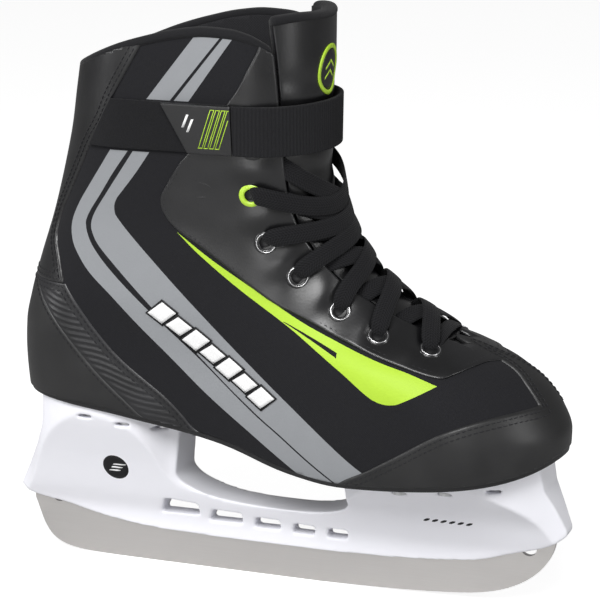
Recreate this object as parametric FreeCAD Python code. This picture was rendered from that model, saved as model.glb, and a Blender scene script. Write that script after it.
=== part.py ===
import FreeCAD, Part

import math
import os
from bisect import bisect_right

from FreeCAD import Vector

# One ice skate for the right foot: a laced boot on a plastic blade holder with a steel runner.
# Millimetres.  +X is the toe, +Y the inner side of the foot, +Z up.
# The origin is on the flat of the runner's lower edge, under the middle of the whole skate.

# ---- driving dimensions -------------------------------------------------------------------
FOOT_SCALE = 1.0            # length of the boot and holder along X, against the size drawn here
SHAFT_SCALE = 1.0           # height of the boot above its sole, against the size drawn here

# upper and lining
UPPER_THICKNESS = 2.0       # leather or fabric outer layer
STIFFENER_THICKNESS = 1.2   # heel stiffener and toe puff, under the outer layer
PADDING_THICKNESS = 4.4     # foam between the outer layer and the lining
LINING_THICKNESS = 0.8
BINDING_HEIGHT = 3.2        # soft edge rolled over the collar and the tongue's tip
BINDING_STANDOUT = 0.4      # how far the binding stands out from the layers that it covers

# sole
OUTSOLE_THICKNESS = 2.4
INSOLE_THICKNESS = 2.9
FOOTBED_THICKNESS = 3.4
SOLE_SETBACK = 0.4          # outsole edge behind the upper's surface

# tongue
TONGUE_FACE_DEPTH = 0.8     # tongue leather below the upper's outer surface
TONGUE_SINK = 3.0           # underside of the tongue leather, below the eyestays
TONGUE_BACK = 7.0           # inner surface of the tongue's foam
TONGUE_GAP = 0.8            # side gap between the tongue and the eyestays
FLEX_HEIGHT = 251.3         # the tongue bends forward here, just above the strap
FLEX_GAP = 0.6
BADGE_HEIGHT = 264.2
BADGE_RADIUS = 12.5
BADGE_RING = 2.2
BADGE_THICKNESS = 0.6

# ankle strap
STRAP_LOW = 226.0
STRAP_HIGH = 250.5
STRAP_INNER = 2.1           # strap's inner surface, out from the boot's surface
STRAP_THICKNESS = 1.8
PATCH_THICKNESS = 1.2       # hook patch sewn on the outer side
TAB_FRONT_X = -13.8
TAB_HOOK_THICKNESS = 0.8
TAB_THICKNESS = 2.2
STRAP_HINGE_X = -2.0
STRAP_SPLIT = 0.4           # gap at the strap's two folds
ANCHOR_BACK_X = -34.0
ANCHOR_CLEARANCE = 0.4      # between the sewn end and the eyelet under it

# eyelets and lace
FLANGE_RADIUS = 6.0
FLANGE_THICKNESS = 0.9
HOLE_RADIUS = 3.1
BARREL_WALL = 0.5
CLINCH_RADIUS = 4.8
CLINCH_THICKNESS = 0.5
LACE_WIDTH = 8.5
LACE_THICKNESS = 1.1
LACE_STANDOFF = 0.5         # first lace layer above the boot's surface
LACE_GAP = 0.2              # between the two crossing layers

# runner
RUNNER_THICKNESS = 3.0
RUNNER_TOP = 23.5           # upper edge between the lugs, inside the holder
LUG_TOP = 38.0
PEG_RADIUS = 4.0            # holes in the lugs that the holder's plastic fills

# holder
EDGE_HALF = 4.6             # half thickness at the holder's lower edge
FLANGE_DEPTH = 5.0          # plastic between the sole and the rivet heads

# rivets
SHANK_RADIUS = 2.0
RIVET_HEAD_RADIUS = 3.7
RIVET_HEAD_THICKNESS = 1.6
CLINCH_RING_RADIUS = 3.6
CLINCH_RING_THICKNESS = 0.8
POCKET_CLEARANCE = 0.3

BOX = 400.0                 # half size of the cutting blocks


# ---- curves -------------------------------------------------------------------------------
def smooth_curve(points):
    """A smooth curve through (t, value) points that never overshoots them."""
    t = [p[0] for p in points]
    v = [p[1] for p in points]
    steps = [b - a for a, b in zip(t, t[1:])]
    slopes = [(b - a) / h for a, b, h in zip(v, v[1:], steps)]
    tangents = [slopes[0]]
    for i in range(1, len(t) - 1):
        before, after = slopes[i - 1], slopes[i]
        if before * after <= 0:
            tangents.append(0.0)
            continue
        w1 = 2 * steps[i] + steps[i - 1]
        w2 = steps[i] + 2 * steps[i - 1]
        tangents.append((w1 + w2) / (w1 / before + w2 / after))
    tangents.append(slopes[-1])

    def value(x):
        if x <= t[0]:
            return v[0] + tangents[0] * (x - t[0])
        if x >= t[-1]:
            return v[-1] + tangents[-1] * (x - t[-1])
        i = min(bisect_right(t, x) - 1, len(steps) - 1)
        h = steps[i]
        s = (x - t[i]) / h
        return (v[i] * (1 + 2 * s) * (1 - s) ** 2 + tangents[i] * h * s * (1 - s) ** 2
                + v[i + 1] * s * s * (3 - 2 * s) + tangents[i + 1] * h * s * s * (s - 1))

    return value


def along(x):
    """A place along the foot."""
    return x * FOOT_SCALE


SOLE_BASE = 66.0            # lowest point of the sole, where the boot's own height starts


def up(z):
    """A height on the boot: above the sole it follows SHAFT_SCALE."""
    return SOLE_BASE + (z - SOLE_BASE) * SHAFT_SCALE


def by_height(points, scale):
    return smooth_curve([(up(z), value * scale) for z, value in points])


def by_length(points, to_height):
    return smooth_curve([(along(x), up(value) if to_height else value) for x, value in points])


# silhouettes from the side
back_edge = by_height([(60, -136), (80, -138.5), (95, -140.5), (115, -141.5), (128, -140.8), (143, -137.4),
                       (162, -131.7), (186, -123.7), (210, -116.9), (233, -111.3), (250, -108.5),
                       (265, -106), (300, -101)], FOOT_SCALE)
front_edge = by_height([(60, 140), (70, 143.5), (80, 146), (92, 146.5), (103, 142.5), (113, 135.5),
                        (124, 122.5), (131, 106), (137, 90), (142, 78), (152, 61), (165, 45), (180, 33.5),
                        (195, 26.5), (210, 23.2), (230, 22.2), (300, 22.5)], FOOT_SCALE)
sole_height = by_length([(-141, 92), (-113, 90.5), (-91, 88), (-65, 84), (-44, 81), (-26, 78), (18, 67),
                         (38, 65), (58, 66), (88, 69), (116, 73), (135, 77.5), (146, 83)], True)
collar_height = by_length([(-125, 255), (-106, 263), (-86, 271.8), (-73, 276.8), (-57, 281.4), (-41, 285),
                           (-26, 286.6), (-13, 286), (-4, 284), (5, 279), (16, 268)], True)
tongue_tip = by_length([(-20, 283), (-9, 286), (0, 290), (10, 293), (17, 293.5), (30, 291)], True)

# how far the ends of a level section are rounded, and the half widths
front_round = by_height([(60, 46), (95, 50), (110, 60), (125, 76), (138, 84), (150, 74), (165, 56),
                         (185, 42), (205, 34), (230, 31), (300, 31)], 1.0)
back_round = by_height([(60, 36), (120, 38), (180, 40), (300, 42)], 1.0)
foot_half = by_length([(-141, 33), (-110, 33.5), (-80, 33), (-45, 32.5), (-10, 36), (30, 43), (60, 47),
                       (90, 48), (125, 46), (147, 44)], False)
shaft_half = by_height([(110, 38), (140, 37), (165, 35), (185, 34.5), (205, 36), (230, 39), (250, 41),
                        (275, 42.5), (300, 43)], 1.0)
throat_half = by_height([(134, 9.5), (150, 16.5), (180, 23.5), (224, 30.5), (300, 39)], 1.0)


def half_width(x, z):
    """Half width of the boot before its ends are rounded."""
    rise = min(max(z - sole_height(x), 0.0), 30.0) / 30.0
    foot = foot_half(x) * (0.90 + 0.10 * math.sqrt(1 - (1 - rise) ** 2))
    s = min(max((z - up(112)) / 55.0, 0.0), 1.0)
    blend = s * s * (3 - 2 * s)
    return foot * (1 - blend) + shaft_half(z) * blend


def section_ends(z, inset):
    slope = front_edge(z + 0.5) - front_edge(z - 0.5)
    return back_edge(z) + inset, front_edge(z) - inset * math.sqrt(1 + slope * slope)


def side(x, z, inset=0.0):
    """Distance of the boot's side from the middle plane."""
    low, high = section_ends(z, inset)
    front = 1 - min(max((high - x) / front_round(z), 0.0), 1.0)
    rear = 1 - min(max((x - low) / back_round(z), 0.0), 1.0)
    return (half_width(x, z) - inset) * math.sqrt((1 - front ** 2) * (1 - rear ** 2))


# ---- solids of the boot's surface -----------------------------------------------------------
LEVELS = [56, 64, 73, 82, 91, 99, 106, 113, 119, 125, 131, 137, 144, 152, 162, 174, 187, 201, 216, 232, 249, 266,
          282, 298]
SECTION_POINTS = 36


def section(z, inset):
    """Level section of the boot, a closed curve whose seam is on the inner side."""
    low, high = section_ends(z, inset)
    points = []
    for k in range(SECTION_POINTS):
        angle = 2 * math.pi * k / SECTION_POINTS - math.pi / 2
        x = (low + high) / 2 - (high - low) / 2 * math.cos(angle)
        points.append(Vector(x, -math.copysign(side(x, z, inset), math.sin(angle)), z))
    curve = Part.BSplineCurve()
    spacing = [k / SECTION_POINTS for k in range(SECTION_POINTS + 1)]
    curve.interpolate(Points=points, PeriodicFlag=True, Parameters=spacing)
    return curve


def block(x0, x1, y0, y1, z0, z1):
    return Part.makeBox(x1 - x0, y1 - y0, z1 - z0, Vector(x0, y0, z0))


surfaces = {}


def boot(inset):
    """The boot's full form, moved in (or out, below 0) by inset: one smooth surface through all its sections."""
    if inset in surfaces:
        return surfaces[inset]
    heights = [up(z) for z in LEVELS]
    sections = [section(z, inset) for z in heights]
    rows = [curve.getPoles() for curve in sections]
    columns = []
    for k in range(len(rows[0])):
        rise = Part.BSplineCurve()
        rise.interpolate(Points=[row[k] for row in rows], Parameters=heights)
        columns.append(rise)
    level, rise = sections[0], columns[0]
    surface = Part.BSplineSurface()
    surface.buildFromPolesMultsKnots([column.getPoles() for column in columns],
                                     level.getMultiplicities(), rise.getMultiplicities(),
                                     level.getKnots(), rise.getKnots(), True, False, level.Degree, rise.Degree)
    wall = surface.toShape()
    ends = [edge for edge in wall.Edges if edge.BoundBox.ZLength < 0.01]
    caps = [Part.Face(Part.Wire([edge])) for edge in ends]
    skin = Part.makeCompound([wall] + caps)
    skin.sewShape()
    surfaces[inset] = Part.Solid(Part.Shell(skin.Faces))
    return surfaces[inset]


halves = {}


def half_boot(inset):
    """The outer (lateral) half of the form."""
    if inset not in halves:
        halves[inset] = boot(inset).common(block(-BOX, BOX, -BOX, 0, -BOX, BOX))
    return halves[inset]


def layer(outer, inner):
    """The skin between two insets, on the outer side of the foot."""
    return half_boot(outer).cut(boot(inner))


# ---- cutting forms --------------------------------------------------------------------------
def plate(outline, vector):
    return Part.Face(outline).extrude(vector)


def side_points(points):
    return [Vector(along(x), -BOX, up(z)) for x, z in points]


def spline(points):
    curve = Part.BSplineCurve()
    curve.interpolate(points)
    return curve.toShape()


def side_prism(seam, closing):
    """A block across the skate: its edge is a smooth seam, closed by straight lines."""
    smooth = side_points(seam)
    rest = [smooth[-1]] + side_points(closing) + [smooth[0]]
    edges = [spline(smooth)] + [Part.LineSegment(a, b).toShape() for a, b in zip(rest, rest[1:])]
    return plate(Part.Wire(edges), Vector(0, 2 * BOX, 0))


def under(height, offset, x0, x1, count):
    """Everything below a height curve moved up by offset."""
    xs = [x0 + (x1 - x0) * k / (count - 1) for k in range(count)]
    top = [Vector(x, -BOX, height(x) + offset) for x in xs]
    corners = [top[-1], Vector(x1, -BOX, -BOX), Vector(x0, -BOX, -BOX), top[0]]
    edges = [spline(top)] + [Part.LineSegment(a, b).toShape() for a, b in zip(corners, corners[1:])]
    return plate(Part.Wire(edges), Vector(0, 2 * BOX, 0))


def under_sole(offset):
    return under(sole_height, offset, along(-170), along(170), 24)


def under_collar(offset):
    return under(collar_height, offset, along(-160), along(16), 16)


def under_tongue_tip(offset):
    return under(tongue_tip, offset, along(-30), along(60), 9)


def throat(margin, z_low):
    """The open wedge between the eyestays above z_low, wider by margin."""
    levels = [up(z) for z in (142, 150, 165, 180, 202, 224, 260, 300)]
    heights = [z_low] + [z for z in levels if z > z_low + 1]
    right = [Vector(0, throat_half(z) + margin, z) for z in heights]
    left = [Vector(0, -throat_half(z) - margin, z) for z in reversed(heights)]
    corners = right + left
    outline = Part.makePolygon(corners + [corners[0]])
    return plate(outline, Vector(BOX, 0, 0))


def in_front_of(x):
    return block(x, BOX, -BOX, BOX, -BOX, BOX)


def level_band(z0, z1):
    return block(-BOX, BOX, -BOX, BOX, z0, z1)


def mirrored(shape):
    return shape.mirror(Vector(0, 0, 0), Vector(0, 1, 0))


def both_sides(shape):
    """One solid from a piece that stops at the middle plane and its mirror image."""
    return shape.fuse(mirrored(shape)).removeSplitter()


# ---- seams of the upper, seen from the side ---------------------------------------------------
HEEL_PANEL_TOP = 154

bumper_zone = side_prism(
    [(28, 55), (43.2, 68.4), (56, 75.7), (73, 86.2), (92.2, 98.1), (105.3, 103.8), (117.1, 106.9), (130, 108.8),
     (150, 109.6)],
    [(170, 109.6), (170, 40), (28, 40)])
peak_outline = [Vector(along(x), y, up(100)) for x, y in [(96, 0), (98, -4), (113, -6.5), (123, -9.5), (131, -14),
                                                         (150, -19), (150, 19), (131, 14), (123, 9.5), (113, 6.5),
                                                         (98, 4), (96, 0)]]
peak_zone = plate(Part.makePolygon(peak_outline), Vector(0, 0, BOX))
toe_zone = bumper_zone.fuse(peak_zone)
eyestay_zone = side_prism(
    [(125, 124.5), (111, 127), (103.6, 127.3), (96.8, 125.3), (90.7, 124.1), (75.7, 127.7), (60.1, 132.2),
     (39.6, 139.3), (19.7, 147.8), (2.2, 155.6), (-27.2, 175.1), (-45.1, 186.2), (-51.9, 194.4),
     (-53.1, 201.2), (-50.2, 207.2), (-42.3, 219.4), (-35.9, 226.5), (-12.7, 254.3), (-4.6, 267.7),
     (2, 282), (5, 305)],
    [(170, 305), (170, 124.5)])
counter_zone = side_prism(
    [(-42, 72), (-50.4, 81), (-58.6, 83.4), (-66.3, 87.3), (-74.2, 94.3), (-90.3, 109.1), (-105.2, 126.2),
     (-117.6, 140.8), (-128, HEEL_PANEL_TOP)],
    [(-180, HEEL_PANEL_TOP), (-180, 60)])
rib_zone = side_prism(
    [(-22, 72), (-27.8, 77.9), (-38.6, 84.2), (-44.5, 90.8), (-54.3, 100.1), (-76.1, 116.3), (-88.7, 129.8),
     (-99.1, 143.9), (-106.5, HEEL_PANEL_TOP)],
    [(-180, HEEL_PANEL_TOP), (-180, 60)])
stay_zone = side_prism(
    [(-106.5, HEEL_PANEL_TOP), (-110.8, 165.7), (-114.5, 176), (-112.5, 187), (-106.5, 198),
     (-96.3, 215.7), (-90.6, 226.1), (-81.3, 239.7), (-75, 251.7), (-62.6, 271.3), (-50, 292)],
    [(-50, 305), (-180, 305), (-180, HEEL_PANEL_TOP)])
tongue_zone = side_prism(
    [(98, 121), (80, 125), (52, 133), (28, 145), (6, 162), (-7, 182), (-12, 206), (-14, 235), (-12, 300)],
    [(170, 300), (112, 150)])
tongue_foam_zone = side_prism(
    [(98.6, 120), (80, 124.6), (52, 132.6), (28, 144.6), (6.6, 162), (-6.4, 182), (-11.4, 206), (-13.4, 235),
     (-11.4, 300)],
    [(170, 300), (111, 150)])
stiff_heel_zone = side_prism([(-52, 78), (-66, 100), (-92, 128), (-112, 150), (-150, 168)],
                             [(-180, 168), (-180, 60)])

# ---- the boot's layers --------------------------------------------------------------------------
LINING_OUT = UPPER_THICKNESS + PADDING_THICKNESS
LINING_IN = LINING_OUT + LINING_THICKNESS
BOARD_TOP = OUTSOLE_THICKNESS + INSOLE_THICKNESS
FLEX_Z = up(FLEX_HEIGHT)
THROAT_Z = up(134)

below_upper = under_sole(OUTSOLE_THICKNESS)
below_lining = under_sole(BOARD_TOP)
below_collar = under_collar(-BINDING_HEIGHT)
below_binding = under_collar(0)
shaft_front = in_front_of(along(16))
throat_gap = throat(0, THROAT_Z)
upper_throat = throat(TONGUE_GAP / 2, FLEX_Z).common(in_front_of(along(-20)))
above_flex = level_band(FLEX_Z, BOX)

pieces = {}


def below_top(shape, ceiling):
    """Keep what is under the collar line, which ends at the front of the eyestays."""
    return shape.common(ceiling).fuse(shape.common(shaft_front).cut(above_flex)).removeSplitter()


def split(shape, zone):
    """A panel and what is left around it."""
    return shape.common(zone), shape.cut(zone)


upper = below_top(layer(0, UPPER_THICKNESS).cut(below_upper), below_collar).cut(throat_gap)
toe, upper = split(upper, toe_zone)
pieces["toe_cap"] = both_sides(toe)
pieces["eyestay_lateral"], upper = split(upper, eyestay_zone)
counter, upper = split(upper, counter_zone)
pieces["heel_counter"] = both_sides(counter)
pieces["heel_panel_lateral"], upper = split(upper, rib_zone)
stay, pieces["quarter_lateral"] = split(upper, stay_zone)
pieces["back_stay"] = both_sides(stay)

# stiffeners lie between the upper and the foam, at the heel and over the toes
stiff_layer = layer(UPPER_THICKNESS, UPPER_THICKNESS + STIFFENER_THICKNESS).cut(below_lining)
heel_stiffener = stiff_layer.common(stiff_heel_zone)
toe_puff = stiff_layer.common(in_front_of(along(98))).cut(level_band(up(126), BOX)).cut(tongue_foam_zone)
pieces["heel_stiffener"] = both_sides(heel_stiffener)
pieces["toe_puff"] = both_sides(toe_puff)

foam = layer(UPPER_THICKNESS, LINING_OUT).cut(below_lining).common(below_collar)
foam = foam.cut(tongue_zone.cut(above_flex)).cut(upper_throat).cut(heel_stiffener).cut(toe_puff)
pieces["ankle_padding"] = both_sides(foam)
lining = layer(LINING_OUT, LINING_IN).cut(below_lining).common(below_collar)
lining = lining.cut(tongue_zone.cut(above_flex)).cut(upper_throat)
pieces["inner_lining"] = both_sides(lining)

binding = layer(-BINDING_STANDOUT, LINING_IN).common(below_binding).cut(below_collar)
pieces["collar_binding"] = both_sides(binding.cut(upper_throat))

# sole
outsole = half_boot(SOLE_SETBACK).common(below_upper).cut(under_sole(0))
board = half_boot(UPPER_THICKNESS + 0.1).common(below_lining).cut(below_upper)
FOOTBED_LIFT = BOARD_TOP + CLINCH_RING_THICKNESS + 0.3
bed = half_boot(LINING_IN + 0.3).common(under_sole(FOOTBED_LIFT + FOOTBED_THICKNESS)).cut(under_sole(FOOTBED_LIFT))
pieces["outsole"] = both_sides(outsole)
pieces["insole_board"] = both_sides(board)
pieces["footbed"] = both_sides(bed)

# tongue: leather face in the throat, foam behind it that reaches under the eyestays
inside_throat = throat(-TONGUE_GAP, up(137))
lower_band = level_band(-BOX, FLEX_Z - FLEX_GAP)
face = layer(TONGUE_FACE_DEPTH, TONGUE_SINK).common(inside_throat)
pieces["tongue_face"] = both_sides(face.common(lower_band))
tongue_foam = layer(TONGUE_SINK, TONGUE_BACK)
lower_foam = tongue_foam.common(lower_band).common(tongue_foam_zone)
pieces["tongue_padding"] = both_sides(lower_foam)
tip_top = under_tongue_tip(-BINDING_HEIGHT)
tip_zone = inside_throat.common(above_flex).common(in_front_of(along(-20)))
pieces["tongue_tip_face"] = both_sides(face.common(tip_zone).common(tip_top))
pieces["tongue_tip_padding"] = both_sides(tongue_foam.common(tip_zone).common(tip_top))
tip_edge = layer(TONGUE_FACE_DEPTH - BINDING_STANDOUT, TONGUE_BACK).common(tip_zone)
pieces["tongue_binding"] = both_sides(tip_edge.common(under_tongue_tip(0)).cut(tip_top))
badge_z = up(BADGE_HEIGHT)
ring = Part.makeCylinder(BADGE_RADIUS, BOX, Vector(0, 0, badge_z), Vector(1, 0, 0))
ring = ring.cut(Part.makeCylinder(BADGE_RADIUS - BADGE_RING, BOX, Vector(0, 0, badge_z), Vector(1, 0, 0)))
badge = layer(TONGUE_FACE_DEPTH - BADGE_THICKNESS, TONGUE_FACE_DEPTH).common(ring)
pieces["tongue_badge"] = both_sides(badge)


# ---- ankle strap --------------------------------------------------------------------------------
def side_block(points):
    """A block across the skate with straight edges."""
    corners = side_points(points)
    return plate(Part.makePolygon(corners + [corners[0]]), Vector(0, 2 * BOX, 0))


strap_band = level_band(up(STRAP_LOW), up(STRAP_HIGH))
strap_out = STRAP_INNER + STRAP_THICKNESS
webbing = layer(-strap_out, -STRAP_INNER).common(strap_band)
lateral_web = webbing.common(in_front_of(along(TAB_FRONT_X) + STRAP_SPLIT / 2))
medial_web = mirrored(webbing.common(in_front_of(along(STRAP_HINGE_X) + STRAP_SPLIT / 2)))
pieces["strap_webbing"] = lateral_web.fuse(medial_web).removeSplitter()
anchor = layer(-strap_out, 0).common(strap_band).cut(in_front_of(along(STRAP_HINGE_X) - STRAP_SPLIT / 2))
pieces["strap_anchor"] = mirrored(anchor.common(in_front_of(along(ANCHOR_BACK_X))))
tab_front = TAB_FRONT_X - STRAP_SPLIT / 2 / FOOT_SCALE
tab_outline = side_block([(tab_front, STRAP_LOW), (-36, STRAP_LOW), (-48.3, STRAP_HIGH), (tab_front, STRAP_HIGH)])
tab_split = STRAP_INNER + TAB_HOOK_THICKNESS
pieces["tab_hook_pad"] = layer(-tab_split, -STRAP_INNER).common(tab_outline)
pieces["tab_leather"] = layer(-STRAP_INNER - TAB_THICKNESS, -tab_split).common(tab_outline)
patch_front = TAB_FRONT_X - 1.5
patch_outline = side_block([(patch_front, STRAP_LOW + 1), (-89.5, STRAP_LOW + 1), (-76, STRAP_HIGH - 0.5),
                            (patch_front, STRAP_HIGH - 0.5)])
pieces["hook_patch"] = layer(-PATCH_THICKNESS, 0).common(patch_outline)

# ---- eyelets --------------------------------------------------------------------------------------
EYELET_ROWS = [(82.7, 134.6), (57.8, 140.5), (38.0, 150.8), (16.9, 166.4), (1.5, 182.7), (-5.3, 206.0),
               (-3.5, 229.3)]
COLOURED_ROW = 5


def on_side(x, z):
    """Point of the outer side at a row place, and the direction out of the boot there."""
    x, z = along(x), up(z)
    step = 0.5
    lean = (side(x + step, z) - side(x - step, z)) / (2 * step)
    rise = (side(x, z + step) - side(x, z - step)) / (2 * step)
    out = Vector(-lean, -1, -rise)
    out.normalize()
    return Vector(x, -side(x, z), z), out


def disc(centre, axis, radius, low, high):
    return Part.makeCylinder(radius, high - low, centre + axis * low, axis)


eyelets = []
eyelet_cuts = []
lace_clearances = []
for x, z in EYELET_ROWS:
    centre, out = on_side(x, z)
    back_face = -UPPER_THICKNESS - CLINCH_THICKNESS
    body = disc(centre, out, FLANGE_RADIUS, 0, FLANGE_THICKNESS)
    body = body.fuse(disc(centre, out, HOLE_RADIUS + BARREL_WALL, back_face, FLANGE_THICKNESS))
    body = body.fuse(disc(centre, out, CLINCH_RADIUS, back_face, -UPPER_THICKNESS))
    eyelet_cuts.append(body.removeSplitter())
    eyelets.append(body.cut(disc(centre, out, HOLE_RADIUS, back_face, FLANGE_THICKNESS)).removeSplitter())
    lace_clearances.append(disc(centre, out, FLANGE_RADIUS, -2, 5))
for cutter in eyelet_cuts:
    pieces["eyestay_lateral"] = pieces["eyestay_lateral"].cut(cutter)
pieces["ankle_padding"] = pieces["ankle_padding"].cut(eyelet_cuts[-1]).cut(mirrored(eyelet_cuts[-1]))
anchor_relief = disc(*on_side(*EYELET_ROWS[-1]), FLANGE_RADIUS + ANCHOR_CLEARANCE, -UPPER_THICKNESS,
                     FLANGE_THICKNESS + ANCHOR_CLEARANCE)
pieces["strap_anchor"] = pieces["strap_anchor"].cut(mirrored(anchor_relief))
coloured = eyelets.pop(COLOURED_ROW)
pieces["eyelets_lateral"] = Part.makeCompound(eyelets)
pieces["eyelets_medial"] = mirrored(pieces["eyelets_lateral"])
pieces["coloured_eyelets"] = Part.makeCompound([coloured, mirrored(coloured)])

# ---- lace -------------------------------------------------------------------------------------------
FLAT_ROWS = 2               # the lowest crossings lie on the instep, the others on the front of the shaft
RIDGE_RISE = 12.0           # the instep's ridge stands this far above its eyelets
lace_top = up(STRAP_LOW) - 0.6


def lace_sheet(low, high):
    sheet = both_sides(layer(-high, -low))
    return sheet.common(block(along(-6), BOX, -BOX, BOX, up(120), lace_top))


def strip(start, end, width, ceiling=None):
    """A straight strip between two (a, b) places: (x, y) under a ceiling, or (y, z) seen from the front."""
    length = math.hypot(end[0] - start[0], end[1] - start[1])
    across = ((start[1] - end[1]) / length * width / 2, (end[0] - start[0]) / length * width / 2)
    corners = [(start[0] + across[0], start[1] + across[1]), (end[0] + across[0], end[1] + across[1]),
               (end[0] - across[0], end[1] - across[1]), (start[0] - across[0], start[1] - across[1])]
    if ceiling is not None:
        points = [Vector(a, b, 0) for a, b in corners]
        return plate(Part.makePolygon(points + [points[0]]), Vector(0, 0, ceiling))
    points = [Vector(0, a, b) for a, b in corners]
    return plate(Part.makePolygon(points + [points[0]]), Vector(BOX, 0, 0))


def crossing(row, from_lateral):
    """Where a lace band runs from an eyelet to the eyestay edge of the next row, on the other side."""
    (x0, z0), (x1, z1) = EYELET_ROWS[row], EYELET_ROWS[row + 1]
    x0, z0, x1, z1 = along(x0), up(z0), along(x1), up(z1)
    sign = -1 if from_lateral else 1
    y0, y1 = sign * side(x0, z0), -sign * (throat_half(z1) - 1)
    slope = abs((z1 - z0) / (x1 - x0 - 0.01))
    if row < FLAT_ROWS:
        return strip((x0, y0), (x1, y1), LACE_WIDTH / math.sqrt(1 + slope * slope), z1 + RIDGE_RISE)
    return strip((y0, z0), (y1, z1), LACE_WIDTH * slope / math.sqrt(1 + slope * slope))


lower_sheet = lace_sheet(LACE_STANDOFF, LACE_STANDOFF + LACE_THICKNESS)
upper_start = LACE_STANDOFF + LACE_THICKNESS + LACE_GAP
upper_sheet = lace_sheet(upper_start, upper_start + LACE_THICKNESS)
first_x, first_z = along(EYELET_ROWS[0][0]), up(EYELET_ROWS[0][1])
first_side = side(first_x, first_z)
bottom_bar = strip((first_x, -first_side), (first_x, first_side), LACE_WIDTH * 0.8, first_z + RIDGE_RISE)
crossings = range(len(EYELET_ROWS) - 1)
low_bands = [lower_sheet.common(crossing(row, True)) for row in crossings]
low_bands[0] = low_bands[0].fuse(lower_sheet.common(bottom_bar)).removeSplitter()
high_bands = [upper_sheet.common(crossing(row, False)) for row in crossings]
clearances = lace_clearances + [mirrored(cutter) for cutter in lace_clearances]


def clear_of_eyelets(band):
    for cutter in clearances:
        band = band.cut(cutter)
    return max(band.Solids, key=lambda solid: solid.Volume)


pieces["lace_under"] = Part.makeCompound([clear_of_eyelets(band) for band in low_bands])
pieces["lace_over"] = Part.makeCompound([clear_of_eyelets(band) for band in high_bands])

# ---- runner -------------------------------------------------------------------------------------------
runner_edge = [(20, 0), (48, 0.7), (70, 1.6), (89, 3), (108, 5.8), (123.5, 11.8), (136, 22.4), (141.3, 34)]
runner_heel = [(-142, 27), (-140.4, 22.9), (-137, 13.8), (-131, 5.8), (-120.5, 1.6), (-106, 0.4), (-88, 0.1),
               (-70, 0)]
runner_back = [(141.3, 36), (137, LUG_TOP), (128, LUG_TOP), (118, RUNNER_TOP + 6), (72, RUNNER_TOP + 6),
               (62, LUG_TOP - 3), (50, LUG_TOP - 3), (42, RUNNER_TOP), (-66, RUNNER_TOP), (-74, LUG_TOP - 3),
               (-86, LUG_TOP - 3), (-94, RUNNER_TOP + 8), (-118, RUNNER_TOP + 8), (-126, LUG_TOP - 2),
               (-136, LUG_TOP - 4), (-142, 31)]
PEGS = [(56, 28), (128, 31), (-80, 28), (-128, 30)]


def level_points(points, y):
    return [Vector(along(x), y, z) for x, z in points]


half_steel = RUNNER_THICKNESS / 2
toe_arc = level_points(runner_edge, -half_steel)
heel_arc = level_points(runner_heel, -half_steel)
top_line = level_points(runner_back, -half_steel)
outline = [spline(heel_arc), Part.LineSegment(heel_arc[-1], toe_arc[0]).toShape(), spline(toe_arc)]
corners = [toe_arc[-1]] + top_line + [heel_arc[0]]
outline += [Part.LineSegment(a, b).toShape() for a, b in zip(corners, corners[1:])]
steel = plate(Part.Wire(outline), Vector(0, RUNNER_THICKNESS, 0))
for x, z in PEGS:
    steel = steel.cut(Part.makeCylinder(PEG_RADIUS, RUNNER_THICKNESS, Vector(along(x), -half_steel, z),
                                        Vector(0, 1, 0)))
pieces["runner"] = steel

# ---- blade holder ---------------------------------------------------------------------------------------
holder_bottom = [(-148, 35.3), (-141, 30.8), (-128, 28.1), (-106, 23.2), (-73, 18.9), (-52, 18.1), (-19, 17.9),
                 (8.6, 17.8), (50, 18.4), (90, 21), (105, 23.3), (119, 27.9), (142, 36.7), (148, 41)]
holder_ends = [(148.2, 43.4), (142.8, 55.6), (138, 64.8), (136, 75), (136, 100), (-127, 100), (-127.5, 82),
               (-128.5, 74), (-133.6, 62), (-146.6, 38.7)]
window_bottom = [(-56.2, 53), (-54.5, 50), (-51, 47.4), (-37, 42.3), (-9, 39.4), (19, 40), (32, 42.8), (36, 45),
                 (37.4, 48.5)]
window_top = [(35.8, 56), (35, 110), (-53.5, 110), (-54, 75)]
plan_outline = [(-151, 4.4), (-141, 9), (-129, 19), (-113, 27), (-86, 28), (-70, 23), (-58, 13.5), (-48, 11.8),
                (-10, 11.2), (24, 11.8), (34, 14), (46, 23), (62, 30.5), (85, 33.5), (108, 31), (126, 22.5),
                (139, 12), (151, 4.4)]
heel_flare = [(0, 4.6), (18, 4.6), (28, 5.2), (36, 8.6), (46, 12.5), (60, 18), (72, 23.5), (82, 28), (110, 31)]
toe_flare = [(0, 4.6), (18, 4.6), (28, 5.2), (36, 8.6), (46, 13.5), (54, 20), (60, 26), (66, 31), (100, 36)]
SLOTS = [[(-64.5, 37.5), (-67.8, 28.5), (-46.4, 28.9), (-46.4, 35.9)],
         [(-38.1, 33.8), (-41.4, 26.7), (-22.6, 27.0), (-22.5, 33.0)],
         [(-14.8, 31.9), (-16.7, 25.8), (-2.0, 26.0), (-2.0, 31.5)],
         [(6.0, 30.9), (4.3, 25.4), (16.4, 25.4), (16.8, 30.5)],
         [(24.3, 30.5), (23.0, 25.2), (34.3, 25.3), (34.5, 30.5)]]
HEEL_RIVETS = [(-100, 20.5), (-80, 20.5), (-63, 11.5)]
TOE_RIVETS = [(68, 24.5), (92, 26), (116, 20)]


def closed_outline(smooth, straight, y):
    a, b = level_points(smooth, y), level_points(straight, y)
    corners = [a[-1]] + b + [a[0]]
    edges = [spline(a)] + [Part.LineSegment(p, q).toShape() for p, q in zip(corners, corners[1:])]
    return Part.Wire(edges)


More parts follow.
